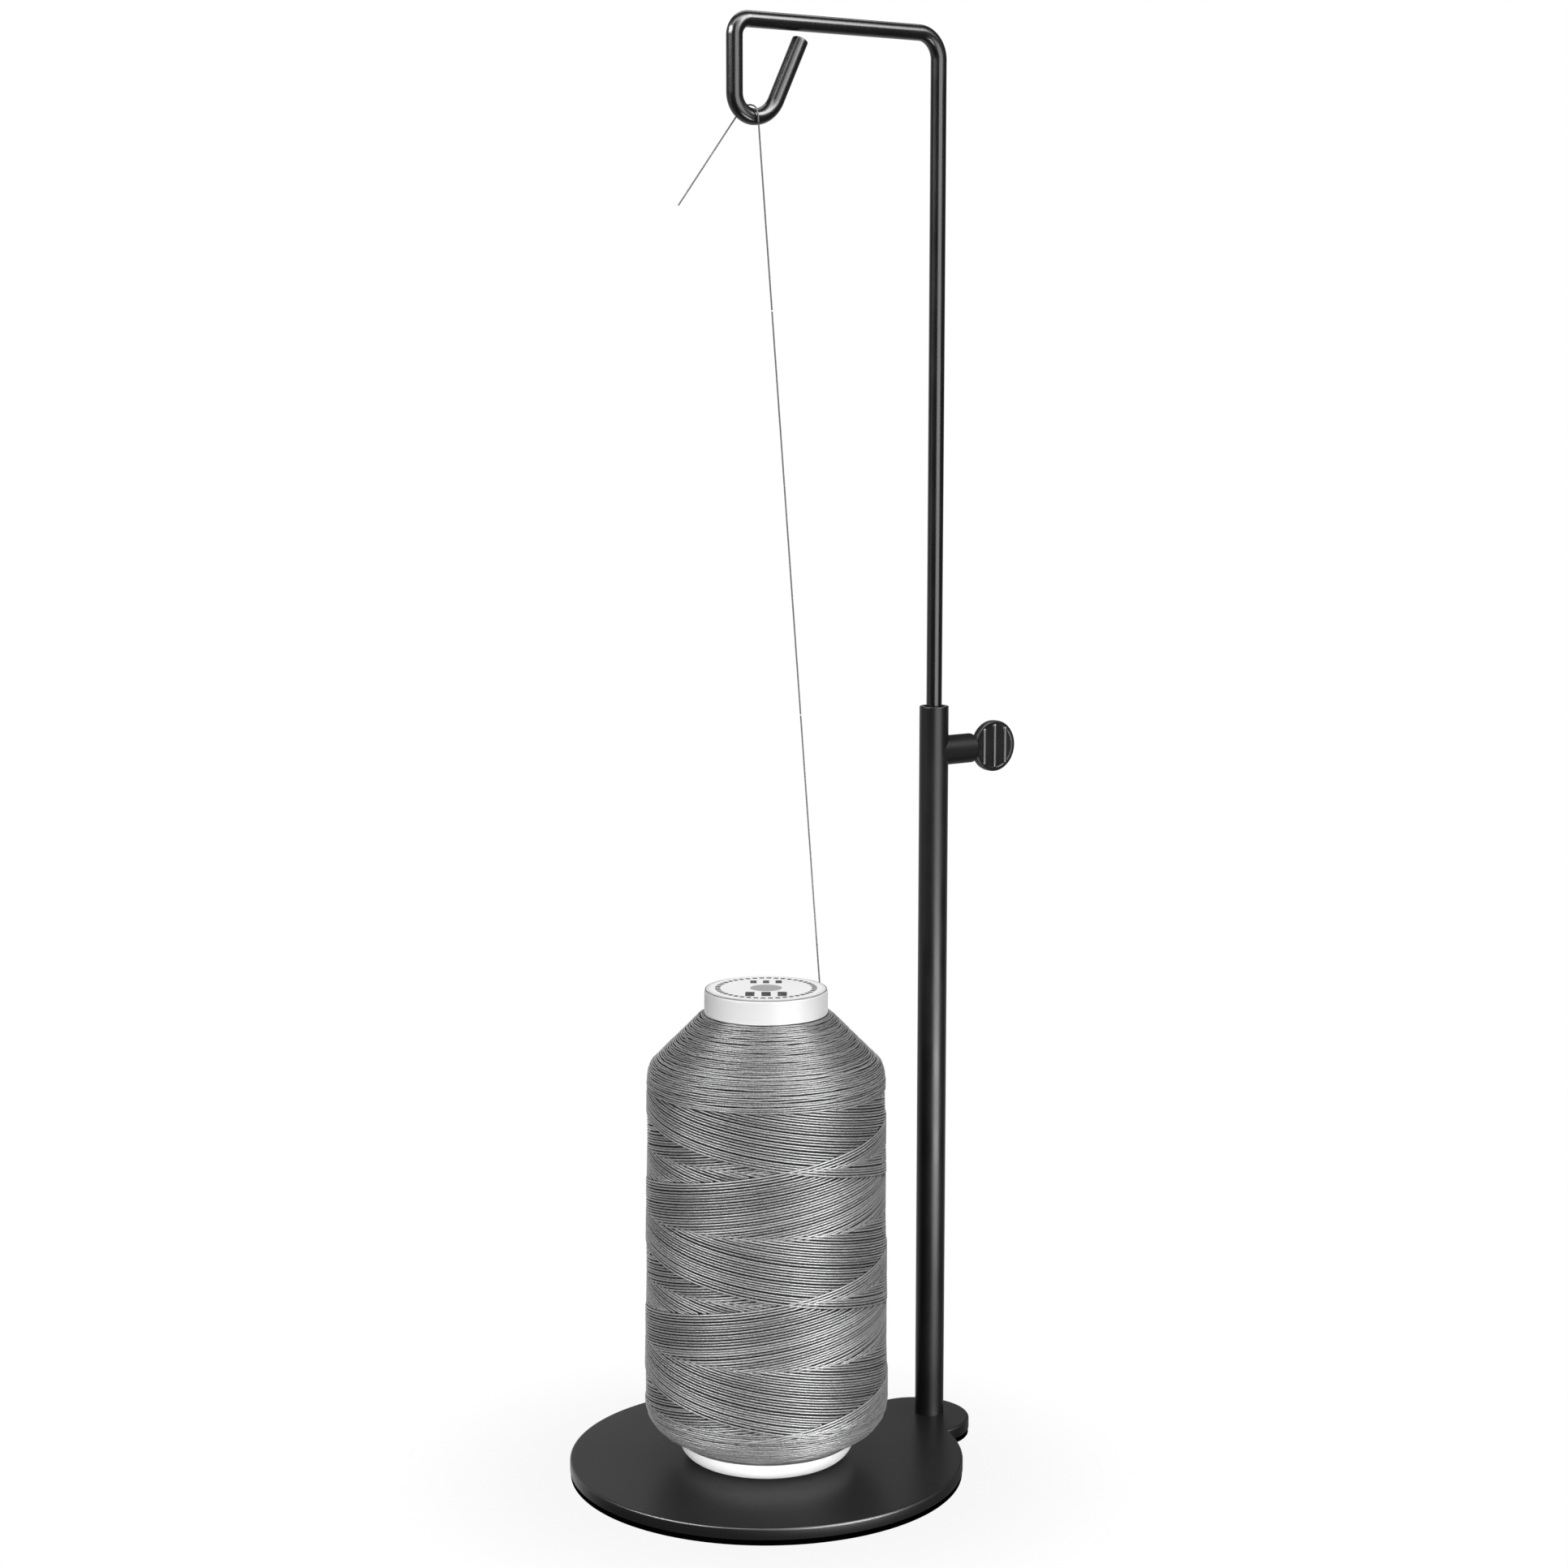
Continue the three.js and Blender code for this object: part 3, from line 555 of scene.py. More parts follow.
boss_enamel = stove_enamel("black_enamel_on_boss", gloss=0.06, smooth=0.4, rough=0.46)
boss = piece("clamp_boss_enamelled", *barrel(), boss_enamel)
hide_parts("clamp_boss")
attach(boss, "stand")

coin_half = COIN_THICKNESS / 2
rim = coin_half + RIM_RISE
upper_half = [
    (COIN_RADIUS, rim, 0.4),
    (COIN_FACE, rim, 0.1),
    (COIN_FACE - RIM_SLOPE, coin_half, 0.12),
    (0, coin_half, 0),
]
lower_half = [(radius, -height, ease) for radius, height, ease in reversed(upper_half)]
coin_points, coin_faces = turned(
    eased(lower_half + upper_half), 96, lambda x, y, z: (z, POST_Y + COIN_CENTRE + y, CLAMP_Z + x)
)
shank_outline = [
    (0, SHANK_START, 0),
    (SHANK_RADIUS, SHANK_START, 0.3),
    (SHANK_RADIUS, SHANK_SHOULDER, 0.3),
    (SHANK_END_RADIUS, SHANK_END, 0),
    (0, SHANK_END, 0),
]
shank_points, shank_faces = turned(eased(shank_outline), 40, lambda x, y, z: (x, POST_Y + z, CLAMP_Z + y))
shank_faces = [tuple(len(coin_points) + corner for corner in face) for face in shank_faces]
screw = piece("thumb_screw_enamelled", coin_points + shank_points, coin_faces + shank_faces, enamel)
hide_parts("thumb_screw")
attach(screw, "screw")


# Coin grip: three round-backed ribs, pressed with the steel coin and under the same enamel, that stand
# proud of both its faces and end just inside its edge. The tree sets them out by their number and
# spacing, and cuts each to the chord it lies on.
RIB_STEPS = 25
BACK_STEPS = 7
END_SQUARENESS = 18.0


class Rule(Graph):
    """A Geometry Nodes tree with named inputs, and the plain pieces that it makes."""

    def __init__(self, name, **sizes):
        super().__init__(bpy.data.node_groups.new(name, "GeometryNodeTree"))
        kinds = {int: "NodeSocketInt", float: "NodeSocketFloat", tuple: "NodeSocketVector"}
        outside = self.tree.interface
        outside.new_socket(name="Result", in_out="OUTPUT", socket_type="NodeSocketGeometry")
        outside.new_socket(name="Start", in_out="INPUT", socket_type="NodeSocketGeometry")
        for size, value in sizes.items():
            outside.new_socket(name=size, in_out="INPUT", socket_type=kinds[type(value)])
        outside.new_socket(name="Finish", in_out="INPUT", socket_type="NodeSocketMaterial")
        given = self.tree.nodes.new("NodeGroupInput")
        self.given = {socket.name: Wire(self, socket) for socket in given.outputs if socket.name}
        self.sizes = sizes

    def __getitem__(self, name):
        return self.given[name]

    def line(self, count, start=(0, 0, 0), end=(0, 0, 1)):
        """A straight curve of that many points."""
        whole = self.node("GeometryNodeCurvePrimitiveLine", sockets={"Start": start, "End": end})
        return self.node("GeometryNodeResampleCurve", {"mode": "COUNT"}, {"Curve": whole, "Count": count})

    def end(self, result):
        """Closes the tree: what it made becomes real faces with one material."""
        result = self.node("GeometryNodeSetShadeSmooth", sockets={"Geometry": result})
        result = self.node("GeometryNodeRealizeInstances", sockets={"Geometry": result})
        sockets = {"Geometry": result, "Material": self["Finish"]}
        result = self.node("GeometryNodeSetMaterial", sockets=sockets)
        outlet = self.tree.nodes.new("NodeGroupOutput")
        self.tree.links.new(result.socket, outlet.inputs[0])

    def run(self, name, material, points=(), edges=(), **sizes):
        """A plain piece: what the rule makes of those points, with these sizes or its own."""
        mesh = bpy.data.meshes.new(name)
        mesh.from_pydata([Vector(point) * MM for point in points], edges, [])
        made = linked(name, mesh)
        rule = made.modifiers.new("rule", "NODES")
        rule.node_group = self.tree
        values = {**self.sizes, **sizes, "Finish": material}
        for socket in self.tree.interface.items_tree:
            if socket.in_out == "INPUT" and socket.name in values:
                rule[socket.identifier] = values[socket.name]
        graph = bpy.context.evaluated_depsgraph_get()
        evaluated = made.evaluated_get(graph)
        plain = bpy.data.meshes.new_from_object(evaluated, preserve_all_data_layers=True, depsgraph=graph)
        made.modifiers.clear()
        made.data = plain
        return made


grip = Rule(
    "coin_grip",
    Ribs=3,
    Spacing=3.45 * MM,
    Width=1.5 * MM,
    Rise=1.3 * MM,
    Reach=6.2 * MM,
    Centre=(0.0, 0.0, 0.0),
)
across = (grip.node("GeometryNodeInputIndex") - (grip["Ribs"] - 1) * 0.5) * grip["Spacing"]
row = grip.node("GeometryNodeMeshLine", {"mode": "OFFSET"}, {"Count": grip["Ribs"]})
row = grip.node("GeometryNodeSetPosition", sockets={"Geometry": row, "Position": grip.vector(Y=across)})
chord = (grip["Reach"] * grip["Reach"] - across * across).math("SQRT")
along = grip.node("GeometryNodeSplineParameter", out="Factor") * 2 - 1
taper = (1 - along.math("ABSOLUTE").math("POWER", END_SQUARENESS)).math("SQRT")
section = grip.node(
    "GeometryNodeCurvePrimitiveQuadrilateral",
    sockets={"Width": grip["Rise"] * 2, "Height": grip["Width"]},
)
section = grip.node(
    "GeometryNodeFilletCurve",
    {"mode": "POLY"},
    {"Curve": section, "Count": BACK_STEPS, "Radius": grip["Width"] * 0.49},
)
bar = grip.line(RIB_STEPS, start=(0, 0, -1))
bar = grip.node(
    "GeometryNodeCurveToMesh",
    sockets={"Curve": bar, "Profile Curve": section, "Scale": taper, "Fill Caps": True},
)
bars = grip.node(
    "GeometryNodeInstanceOnPoints",
    sockets={"Points": row, "Instance": bar, "Scale": grip.vector(X=1.0, Y=1.0, Z=chord)},
)
bars = grip.node(
    "GeometryNodeTranslateInstances",
    sockets={"Instances": bars, "Translation": grip["Centre"], "Local Space": False},
)
grip.end(bars)
rib_enamel = stove_enamel("black_enamel_on_ribs", gloss=0.36, smooth=0.36, rough=0.42)
coin_centre = tuple(part * MM for part in (0, POST_Y + COIN_CENTRE, CLAMP_Z))
coin_ribs = grip.run("thumb_screw_ribs", rib_enamel, Centre=coin_centre)
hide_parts("thumb_screw")
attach(coin_ribs, "screw")


# Rod: one length of 4 mm steel wire, bent cold to a square arm, a front leg and an open hook, its ends
# deburred, in the same enamel. A split nylon bush clips in a neck near its foot and slides in the tube,
# and the thumb screw presses on the rod through a nylon tip.
ROD_RADIUS = 2
ROD_IN_TUBE = 62
FOOT_EASE = 0.3
NECK_FROM_FOOT = 1.5
NECK_LENGTH = 12.16
NECK_RADIUS = 1.4
ARM_Z = TUBE_TOP + 167.95
ARM_BEND = 6.3
LEG_Y = -POST_Y - 8.95
LEG_BEND = 4
HOOK_DEPTH = 22.7
HOOK_IN_BEND = 5.5
HOOK_OUT_BEND = 7.3
TAIL_LEAN = math.radians(26.2)
TAIL_UNDER_ARM = 3.9
TAIL_EASE = 0.35
MAST_STEPS = 12
ARM_STEPS = 6
BEND_STEP = math.radians(4)


def rod_line():
    """The rod's stations: each its centre, along Y from the post's axis and in height, its heading and
    its radius."""
    stations = []

    def station(y, z, heading, radius=ROD_RADIUS):
        stations.append((y, z, heading, radius))

    def bend(centre_y, centre_z, radius, start, end):
        steps = math.ceil(abs(end - start) / BEND_STEP)
        for i in range(steps + 1):
            turn = start + (end - start) * i / steps
            y = centre_y + radius * math.cos(turn)
            z = centre_z + radius * math.sin(turn)
            station(y, z, turn + math.pi / 2)

    up = math.pi / 2
    foot = TUBE_TOP - ROD_IN_TUBE
    for inset, height in quarter(0, foot, FOOT_EASE, steps=4):
        station(0, height, up, ROD_RADIUS - inset)
    neck = foot + NECK_FROM_FOOT
    neck_end = neck + NECK_LENGTH
    station(0, neck, up)
    station(0, neck, up, NECK_RADIUS)
    station(0, neck_end, up, NECK_RADIUS)
    station(0, neck_end, up)
    mast_end = ARM_Z - ARM_BEND
    for step in range(1, MAST_STEPS):
        station(0, neck_end + (mast_end - neck_end) * step / MAST_STEPS, up)
    bend(-ARM_BEND, mast_end, ARM_BEND, 0, up)
    arm_end = LEG_Y + LEG_BEND
    for step in range(1, ARM_STEPS):
        station(-ARM_BEND + (arm_end + ARM_BEND) * step / ARM_STEPS, ARM_Z, math.pi)
    bend(arm_end, ARM_Z - LEG_BEND, LEG_BEND, up, math.pi)
    lowest_y = LEG_Y + HOOK_IN_BEND
    lowest_z = ARM_Z - HOOK_DEPTH
    bend(lowest_y, lowest_z + HOOK_IN_BEND, HOOK_IN_BEND, math.pi, 1.5 * math.pi)
    bend(lowest_y, lowest_z + HOOK_OUT_BEND, HOOK_OUT_BEND, 1.5 * math.pi, 2 * math.pi - TAIL_LEAN)
    y, z, heading, _ = stations[-1]
    tail = (ARM_Z - TAIL_UNDER_ARM - z) / math.sin(heading)
    # Two stations a little before the tail's eased end keep its shading even.
    for inset, short in [(0, 10), (0, 0.6), *reversed(quarter(0, 0, TAIL_EASE, steps=4))]:
        gone = tail - short
        station(y + math.cos(heading) * gone, z + math.sin(heading) * gone, heading, ROD_RADIUS - inset)
    return stations


def swept(stations, sides):
    """Points and faces of a round bar along the stations, in the plane of the post and the pin."""
    points = []
    for y, z, heading, radius in stations:
        for k in range(sides):
            turn = 2 * math.pi * k / sides
            x, out = radius * math.cos(turn), radius * math.sin(turn)
            points.append((x, POST_Y + y - math.sin(heading) * out, z + math.cos(heading) * out))
    return points, skin(len(stations), sides)


rod_enamel = stove_enamel("black_rod_enamel", gloss=0.25, smooth=0.22, rough=0.26)
rod = piece("hook_rod_enamelled", *swept(rod_line(), 48), rod_enamel)
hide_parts("hook_rod")
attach(rod, "mast")

nylon = Finish("natural_nylon", Roughness=0.45, Specular_IOR_Level=0.45)
cloud = nylon.noise(500)
nylon_colour = nylon.mix(cloud, (0.66, 0.64, 0.57), (0.74, 0.72, 0.66))
nylon = nylon.feed(Base_Color=nylon_colour, Normal=nylon.bump(cloud, 0.02 * MM, 0.3))
for node in ("clamp_tip", "rod_bush"):
    refinish(node, nylon)


# Spool: a moulded tube of white plastic with a bowl-shaped foot, which stands on the plate, and a web in
# the foot with the hole for the pin. A moulded cap, with a slight draft and a soft edge, closes its top.
FOOT_Z = PLATE_TOP
FOOT_HEIGHT = 5.0
FOOT_RADIUS = 16.8
FOOT_FLARE = 5.4
BOWL_STEPS = 16
WEB_THICKNESS = 3
PIN_HOLE = 3.5
CORE_RADIUS = 11
CORE_BORE = 9.6
CORE_TOP = FOOT_Z + 119.55
CAP_RADIUS = 15.45
CAP_WALL = 1.3
CAP_DRAFT = 0.05
CAP_TOP = CORE_TOP + CAP_WALL
CAP_SKIRT = CAP_TOP - 6.1
RECESS_RADIUS = 14.85
RECESS_SLOPE = 0.1
RECESS_DEPTH = 0.06


def moulding(name, dull, bright):
    """White plastic with faint flow marks and a fine, slightly dull skin."""
    made = Finish(name, Specular_IOR_Level=0.15)
    flow = made.noise(55)
    grain = made.noise(2500, 2.0)
    colour = made.mix(flow, (dull, dull, dull), (bright, bright, bright))
    roughness = made.step(flow, 0.3, 0.7, 0.44, 0.54)
    return made.feed(Base_Color=colour, Roughness=roughness, Normal=made.bump(grain, 0.012 * MM, 0.5))


bowl = []
for step in range(BOWL_STEPS + 1):
    turn = math.pi / 2 * step / BOWL_STEPS
    radius = FOOT_RADIUS + FOOT_FLARE * math.sin(turn)
    bowl.append((radius, FOOT_Z + FOOT_HEIGHT * (1 - math.cos(turn)), 0))
web_top = FOOT_Z + WEB_THICKNESS
core_outline = [
    (PIN_HOLE, FOOT_Z, 0.2),
    *bowl,
    (CORE_RADIUS, FOOT_Z + FOOT_HEIGHT, 0.3),
    (CORE_RADIUS, CORE_TOP, 0.2),
    (CORE_BORE, CORE_TOP, 0.2),
    (CORE_BORE, web_top, 0.4),
    (PIN_HOLE, web_top, 0.2),
]
# The core is a lighter white than the cap, though both are the same plastic: painted light on the foot, which
# stands in the package's shade.
core_plastic_painted_light = moulding("white_core_moulding", dull=0.86, bright=0.9)
core = piece("spool_core_moulded", *turned(eased(core_outline), 128), core_plastic_painted_light)
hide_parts("spool_core")
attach(core, "spool")

skirt_inside = CAP_RADIUS - CAP_WALL
recess_floor = CAP_TOP - RECESS_DEPTH
cap_outline = [
    (0, CORE_TOP, 0),
    (skirt_inside, CORE_TOP, 0.3),
    (skirt_inside, CAP_SKIRT, 0.25),
    (CAP_RADIUS, CAP_SKIRT, 0.3),
    (CAP_RADIUS - CAP_DRAFT, CAP_TOP, 0.75),
    (RECESS_RADIUS + RECESS_SLOPE, CAP_TOP, 0.04),
    (RECESS_RADIUS, recess_floor, 0.04),
    (0, recess_floor, 0),
]
cap_plastic = moulding("white_cap_moulding", dull=0.62, bright=0.67)
cap = piece("spool_cap_moulded", *turned(eased(cap_outline), 160), cap_plastic)
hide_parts("spool_cap")
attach(cap, "spool")


# Label: a round of white film stuck in the cap's shallow recess, printed in black with a ring of dashes
# and a few plain tally marks, round a grey spot. It carries no words.
LABEL_RADIUS = 14.6
LABEL_THICKNESS = 0.2
EDGE_LINE = 14.25
DASH_RING = 12.1
DASHES = 42
SPOT_RADIUS = 3.975
MARKS_IN_ROW = 3
VIEWER = math.radians(-35.1)
film = Finish("printed_film", Roughness=0.55, Specular_IOR_Level=0.15)
east = film.part(film.place, "X") * (1 / MM)
north = film.part(film.place, "Y") * (1 / MM)
out_from = (east * east + north * north).math("SQRT")
ragged = (film.noise(1800) - 0.5) * 0.3


def within(distance, half, blur=0.08):
    """1 where the distance is less than half, 0 where it is more, with a soft edge between."""
    return 1 - film.step(distance, half - blur, half + blur)


dash_turn = north.math("ARCTAN2", east) * (DASHES / (2 * math.pi))
dash = film.step(dash_turn.math("FRACT").math("PINGPONG", 0.5) + ragged * 0.2, 0.13, 0.19)
dashes = within((out_from - DASH_RING).math("ABSOLUTE"), 0.65) * dash
edge_line = within((out_from - EDGE_LINE).math("ABSOLUTE"), 0.12) * 0.3
spot = within(out_from + ragged, SPOT_RADIUS, 0.125)
# The tally marks stand in two short rows, square to the viewer at the front of the spool. A row says
# how far before the middle it lies, half its depth, its marks' spacing, and half a mark's width.
to_viewer = east * math.cos(VIEWER) + north * math.sin(VIEWER)
to_right = north * math.cos(VIEWER) - east * math.sin(VIEWER)
tallies = 0
for middle, half_depth, spacing, half_width in ((7.3, 2.5, 4.0, 1.15), (-7.3, 1.7, 3.2, 0.8)):
    in_row = within((to_viewer - middle).math("ABSOLUTE") + ragged, half_depth)
    in_length = within(to_right.math("ABSOLUTE"), spacing * MARKS_IN_ROW / 2, 0.05)
    off_mark = ((to_right * (1 / spacing) + 0.5).math("FRACT") - 0.5).math("ABSOLUTE") * spacing
    tallies = tallies + in_row * in_length * within(off_mark + ragged, half_width)
fade = film.noise(700, 2.0)
ink = (dashes + tallies).math("MINIMUM", 1.0) * film.step(fade, 0.25, 0.5, 0.88, 1.0)
paper = film.mix(film.noise(60, 2.0), (0.78, 0.78, 0.775), (0.83, 0.83, 0.825))
printed = film.mix(spot, paper, (0.34, 0.34, 0.345))
printed = film.mix(edge_line, printed, (0.25, 0.25, 0.25))
printed = film.mix(ink, printed, (0.015, 0.015, 0.016))
film = film.feed(Base_Color=printed, Normal=film.bump(fade, 0.01 * MM, 0.3))
label_top = recess_floor + LABEL_THICKNESS
label_outline = [
    (0, recess_floor, 0),
    (LABEL_RADIUS, recess_floor, 0),
    (LABEL_RADIUS, label_top, 0.08),
    (0, label_top, 0),
]
label = piece("spool_label_printed", *turned(eased(label_outline), 128), film)
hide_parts("spool_label")
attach(label, "spool")


# Wound thread: grey two-ply polyester, cross-wound on the spool. Two families of helices, one falling
# and one rising to the right, lie over each other in turn, and the later thread of each hides the
# earlier one of the other. Its tree works out from the winding's pitch where each thread is on top.
WALL_FOOT = 19.6
WALL_TOP = 102.3
WALL_FOOT_RADIUS = 30.95
WALL_TOP_RADIUS = 30.05
END_DIP = 0.5
TUCK_HEIGHT = 2.4
TUCK = 0.3


def drawn(rule, number, seed):
    """A random value from -0.5 to 0.5 for each number."""
    sockets = {2: -0.5, 3: 0.5, "ID": number, "Seed": seed}
    return rule.node("FunctionNodeRandomValue", sockets=sockets, out=1)


def at(rule, radius, turn, height):
    """The place at that radius, turn and height round the spool's axis."""
    return rule.vector(X=turn.math("COSINE") * radius, Y=turn.math("SINE") * radius, Z=height)


def carrying(rule, geometry, name, value, kind="FLOAT"):
    """The geometry, whose points now carry the value under that name."""
    sockets = {"Geometry": geometry, "Name": name, "Value": value}
    return rule.node("GeometryNodeStoreNamedAttribute", {"data_type": kind, "domain": "POINT"}, sockets)


def spun(rule, threads, sides=5):
    """Gives thread lines a round section that knows how its surface lies, as a tube's does."""
    gone = rule.node("GeometryNodeSplineParameter", out="Length")
    threads = carrying(rule, threads, "along", gone)
    section = rule.node("GeometryNodeCurvePrimitiveCircle", sockets={"Resolution": sides, "Radius": 1.0})
    place = rule.node("GeometryNodeInputPosition")
    section = carrying(rule, section, "lay", place, kind="FLOAT_VECTOR")
    return rule.node(
        "GeometryNodeCurveToMesh",
        sockets={"Curve": threads, "Profile Curve": section, "Scale": rule["Thread"], "Fill Caps": True},
    )


# The newest threads of both families pass the height Crossing at that bearing. An older thread is
# sunk deeper, and dips where newer ones of the other family cover it.
winding = Rule(
    "cross_winding",
    Threads=48,
    Samples=200,
    Pitch=33.0 * MM,
    Crossing=52.9 * MM,
    Bearing=math.radians(-28.7),
    Bottom=17.2 * MM,
    Top=101.2 * MM,
    Foot=WALL_FOOT * MM,
    Foot_Radius=WALL_FOOT_RADIUS * MM,
    Top_Radius=WALL_TOP_RADIUS * MM,
    Thread=0.255 * MM,
    Sink=0.4 * MM,
    Dip=0.5 * MM,
    Stray=0.3,
    Wander=0.1 * MM,
    Seed=4,
)
copies = winding.node(
    "GeometryNodeDuplicateElements",
    {"domain": "SPLINE"},
    {"Geometry": winding.line(winding["Samples"]), "Amount": winding["Threads"] * 2},
)
number = copies.also("Duplicate Index")
rank = (number * 0.5).math("FLOOR")
hand = 1 - number.math("MODULO", 2.0) * 2
stray = drawn(winding, number, winding["Seed"])
age = (rank + 0.5 + stray * winding["Stray"]) / winding["Threads"]
factor = winding.node("GeometryNodeSplineParameter", out="Factor")
height = winding["Bottom"] + (winding["Top"] - winding["Bottom"]) * factor
offset = hand * winding["Pitch"] * winding["Bearing"] * (1 / (2 * math.pi))
own_front = winding["Crossing"] + offset
other_front = winding["Crossing"] - offset
# Threads that are neighbours in their family wander nearly alike.
bunch = winding.noise(1.0, 2.0, place=winding.vector(X=rank * 0.23, Y=factor * 5, Z=hand * 9)) - 0.5
start = own_front + hand * age * winding["Pitch"] + bunch * winding["Wander"] * 4
turn = hand * (start - height) * (2 * math.pi) / winding["Pitch"]
other_age = (hand * (other_front - (height * 2 - start)) / winding["Pitch"]).math("FRACT")
hidden = age - other_age
under = winding.step(hidden, -0.005, 0.05)
share = (height - winding["Foot"]) / (WALL_TOP * MM - winding["Foot"])
wall = winding["Foot_Radius"] + (winding["Top_Radius"] - winding["Foot_Radius"]) * share.math("MAXIMUM", 0.0)
ends = winding.step((factor - 0.5).math("ABSOLUTE"), 0.478, 0.5) * (END_DIP * MM)
tuck = winding.step(winding["Foot"] - height, 0.0, TUCK_HEIGHT * MM, 0.0, TUCK * MM)
radius = wall - winding["Thread"] - winding["Sink"] * age - winding["Dip"] * under - ends - tuck
# A thread is cut away where newer ones hide it wholly, but not beside the newest of them.
keep = ((hidden < 0.055) + (other_age < 0.02)).math("MINIMUM", 1.0)
threads = carrying(winding, copies, "keep", keep)
threads = carrying(winding, threads, "tint", drawn(winding, number, winding["Seed"] + 1))
position = at(winding, radius, turn, height)
threads = winding.node("GeometryNodeSetPosition", sockets={"Geometry": threads, "Position": position})
threads = winding.node("GeometryNodeCurveToMesh", sockets={"Curve": threads})
kept = winding.node("GeometryNodeInputNamedAttribute", {"data_type": "FLOAT"}, {"Name": "keep"})
threads = winding.node(
    "GeometryNodeDeleteGeometry", {"domain": "POINT"}, {"Geometry": threads, "Selection": kept < 0.5}
)
threads = winding.node("GeometryNodeMeshToCurve", sockets={"Mesh": threads})
winding.end(spun(winding, threads))
wound = thread_finish("wound_thread", tone=0.185, painted_glint_share=0.9, gloss=0.4, relief=0.3)
wall_threads = winding.run("wound_thread_wall", wound)
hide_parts("thread_outer_layer", "thread_package")
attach(wall_threads, "spool")


# Ends of the winding: where the thread turns back at the shoulder and at the foot, its turns lie nearly
# level, one on another, with slacks between. The tree lays one long spiral along a profile.
SAMPLES_IN_TURN = 108
SHOULDER = [
    (30.1, 100.2),
    (30.12, 101.6),
    (30.02, 103.2),
    (29.75, 104.9),
    (29.2, 106.4),
    (17.2, 118.4),
    (16.6, 118.7),
    (12.5, 118.75),
]
FOOT_END = [(31.0, 20.6), (30.9, 18.4), (30.2, 16.0), (28.5, 13.6), (25.6, 11.6), (22.3, 9.95)]
level = Rule(
    "level_turns",
    Turns=1.0,
    Samples=SAMPLES_IN_TURN,
    Thread=0.235 * MM,
    Wander=0.5 * MM,
    Slack=0.3,
    Deep=0.3 * MM,
    Seed=0.0,
)
profile = level.node("GeometryNodeMeshToCurve", sockets={"Mesh": level["Start"]})
line = level.line(level["Samples"])
factor = level.node("GeometryNodeSplineParameter", out="Factor")
turns_gone = factor * level["Turns"]
whole_turns = turns_gone.math("FLOOR")
turn = turns_gone * (2 * math.pi)
# Noise read along a wide helix drifts slowly within a turn, and differs a little from turn to turn.
noise_x = turn.math("COSINE") * 2.0 + level["Seed"] * 7
noise_place = level.vector(X=noise_x, Y=turn.math("SINE") * 2.0, Z=turns_gone * 0.83)
drift = level.noise(1.0, place=noise_place) - 0.5
fine = level.noise(4.3, 1.0, place=noise_place) - 0.5
bunch = level.node(
    "ShaderNodeTexNoise",
    {"noise_dimensions": "1D"},
    {"W": whole_turns * 0.77 + level["Seed"], "Scale": 1.0, "Detail": 1.0},
) - 0.5
shift = (bunch * level["Slack"] + drift * level["Slack"] * 1.5) / level["Turns"]
spot_on = (factor + shift).math("MAXIMUM", 0.0).math("MINIMUM", 1.0)
sampled = level.node(
    "GeometryNodeSampleCurve",
    {"mode": "FACTOR", "use_all_curves": True},
    {"Curves": profile, "Factor": spot_on},
    out="Position",
)
radius = level.part(sampled, "X") - level["Thread"] - (fine + 0.5) * level["Deep"]
height = level.part(sampled, "Z") + drift * level["Wander"] + fine * level["Wander"] * 0.5
tint = level.node("ShaderNodeTexWhiteNoise", {"noise_dimensions": "1D"}, {"W": whole_turns}) - 0.5
turns = carrying(level, line, "tint", tint)
position = at(level, radius, turn, height)
turns = level.node("GeometryNodeSetPosition", sockets={"Geometry": turns, "Position": position})
level.end(spun(level, turns))
for name, corners, count, seed in (
    ("wound_thread_shoulder", SHOULDER, 50, 2.0),
    ("wound_thread_foot", FOOT_END, 25, 5.0),
):
    path = [(radius, 0, height) for radius, height in corners]
    joints = [(i, i + 1) for i in range(len(path) - 1)]
    samples = count * SAMPLES_IN_TURN
    end_turns = level.run(name, wound, path, joints, Turns=float(count), Samples=samples, Seed=seed)
    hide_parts("thread_package")
    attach(end_turns, "spool")


# The package's body: the layers of thread under the visible one, as one soft solid whose surface shows only
# in the slacks between threads. Its colour is painted far darker than the thread's, as the shade in those
# slacks.
BODY_UNDER_WALL = 1.1
painted_shade_body = Finish("thread_in_shade", Roughness=0.8, Specular_IOR_Level=0.1)
fibres = painted_shade_body.noise(1900, 2.0, place=painted_shade_body.stretched(0.35, 0.35, 1.6))
# Painted shade: far darker than the grey thread itself.
painted_shade_colour = painted_shade_body.mix(fibres, (0.012, 0.012, 0.012), (0.06, 0.06, 0.061))
painted_shade_body = painted_shade_body.feed(Base_Color=painted_shade_colour, Normal=painted_shade_body.bump(fibres, 0.2 * MM, 0.8))
body_outline = [
    (11.3, 9.9),
    (21.9, 10.6),
    (25.1, 12.5),
    (27.6, 14.4),
    (29.1, 16.6),
    (WALL_FOOT_RADIUS - BODY_UNDER_WALL, 18.9),
    (WALL_FOOT_RADIUS - BODY_UNDER_WALL, WALL_FOOT),
    (WALL_TOP_RADIUS - BODY_UNDER_WALL, WALL_TOP),
    (28.9, 104.1),
    (28.2, 105.8),
    (16.6, 117.4),
    (11.3, 117.7),
]
body = piece("thread_package_body", *turned(body_outline, 128), painted_shade_body)
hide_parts("thread_package")
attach(body, "spool")


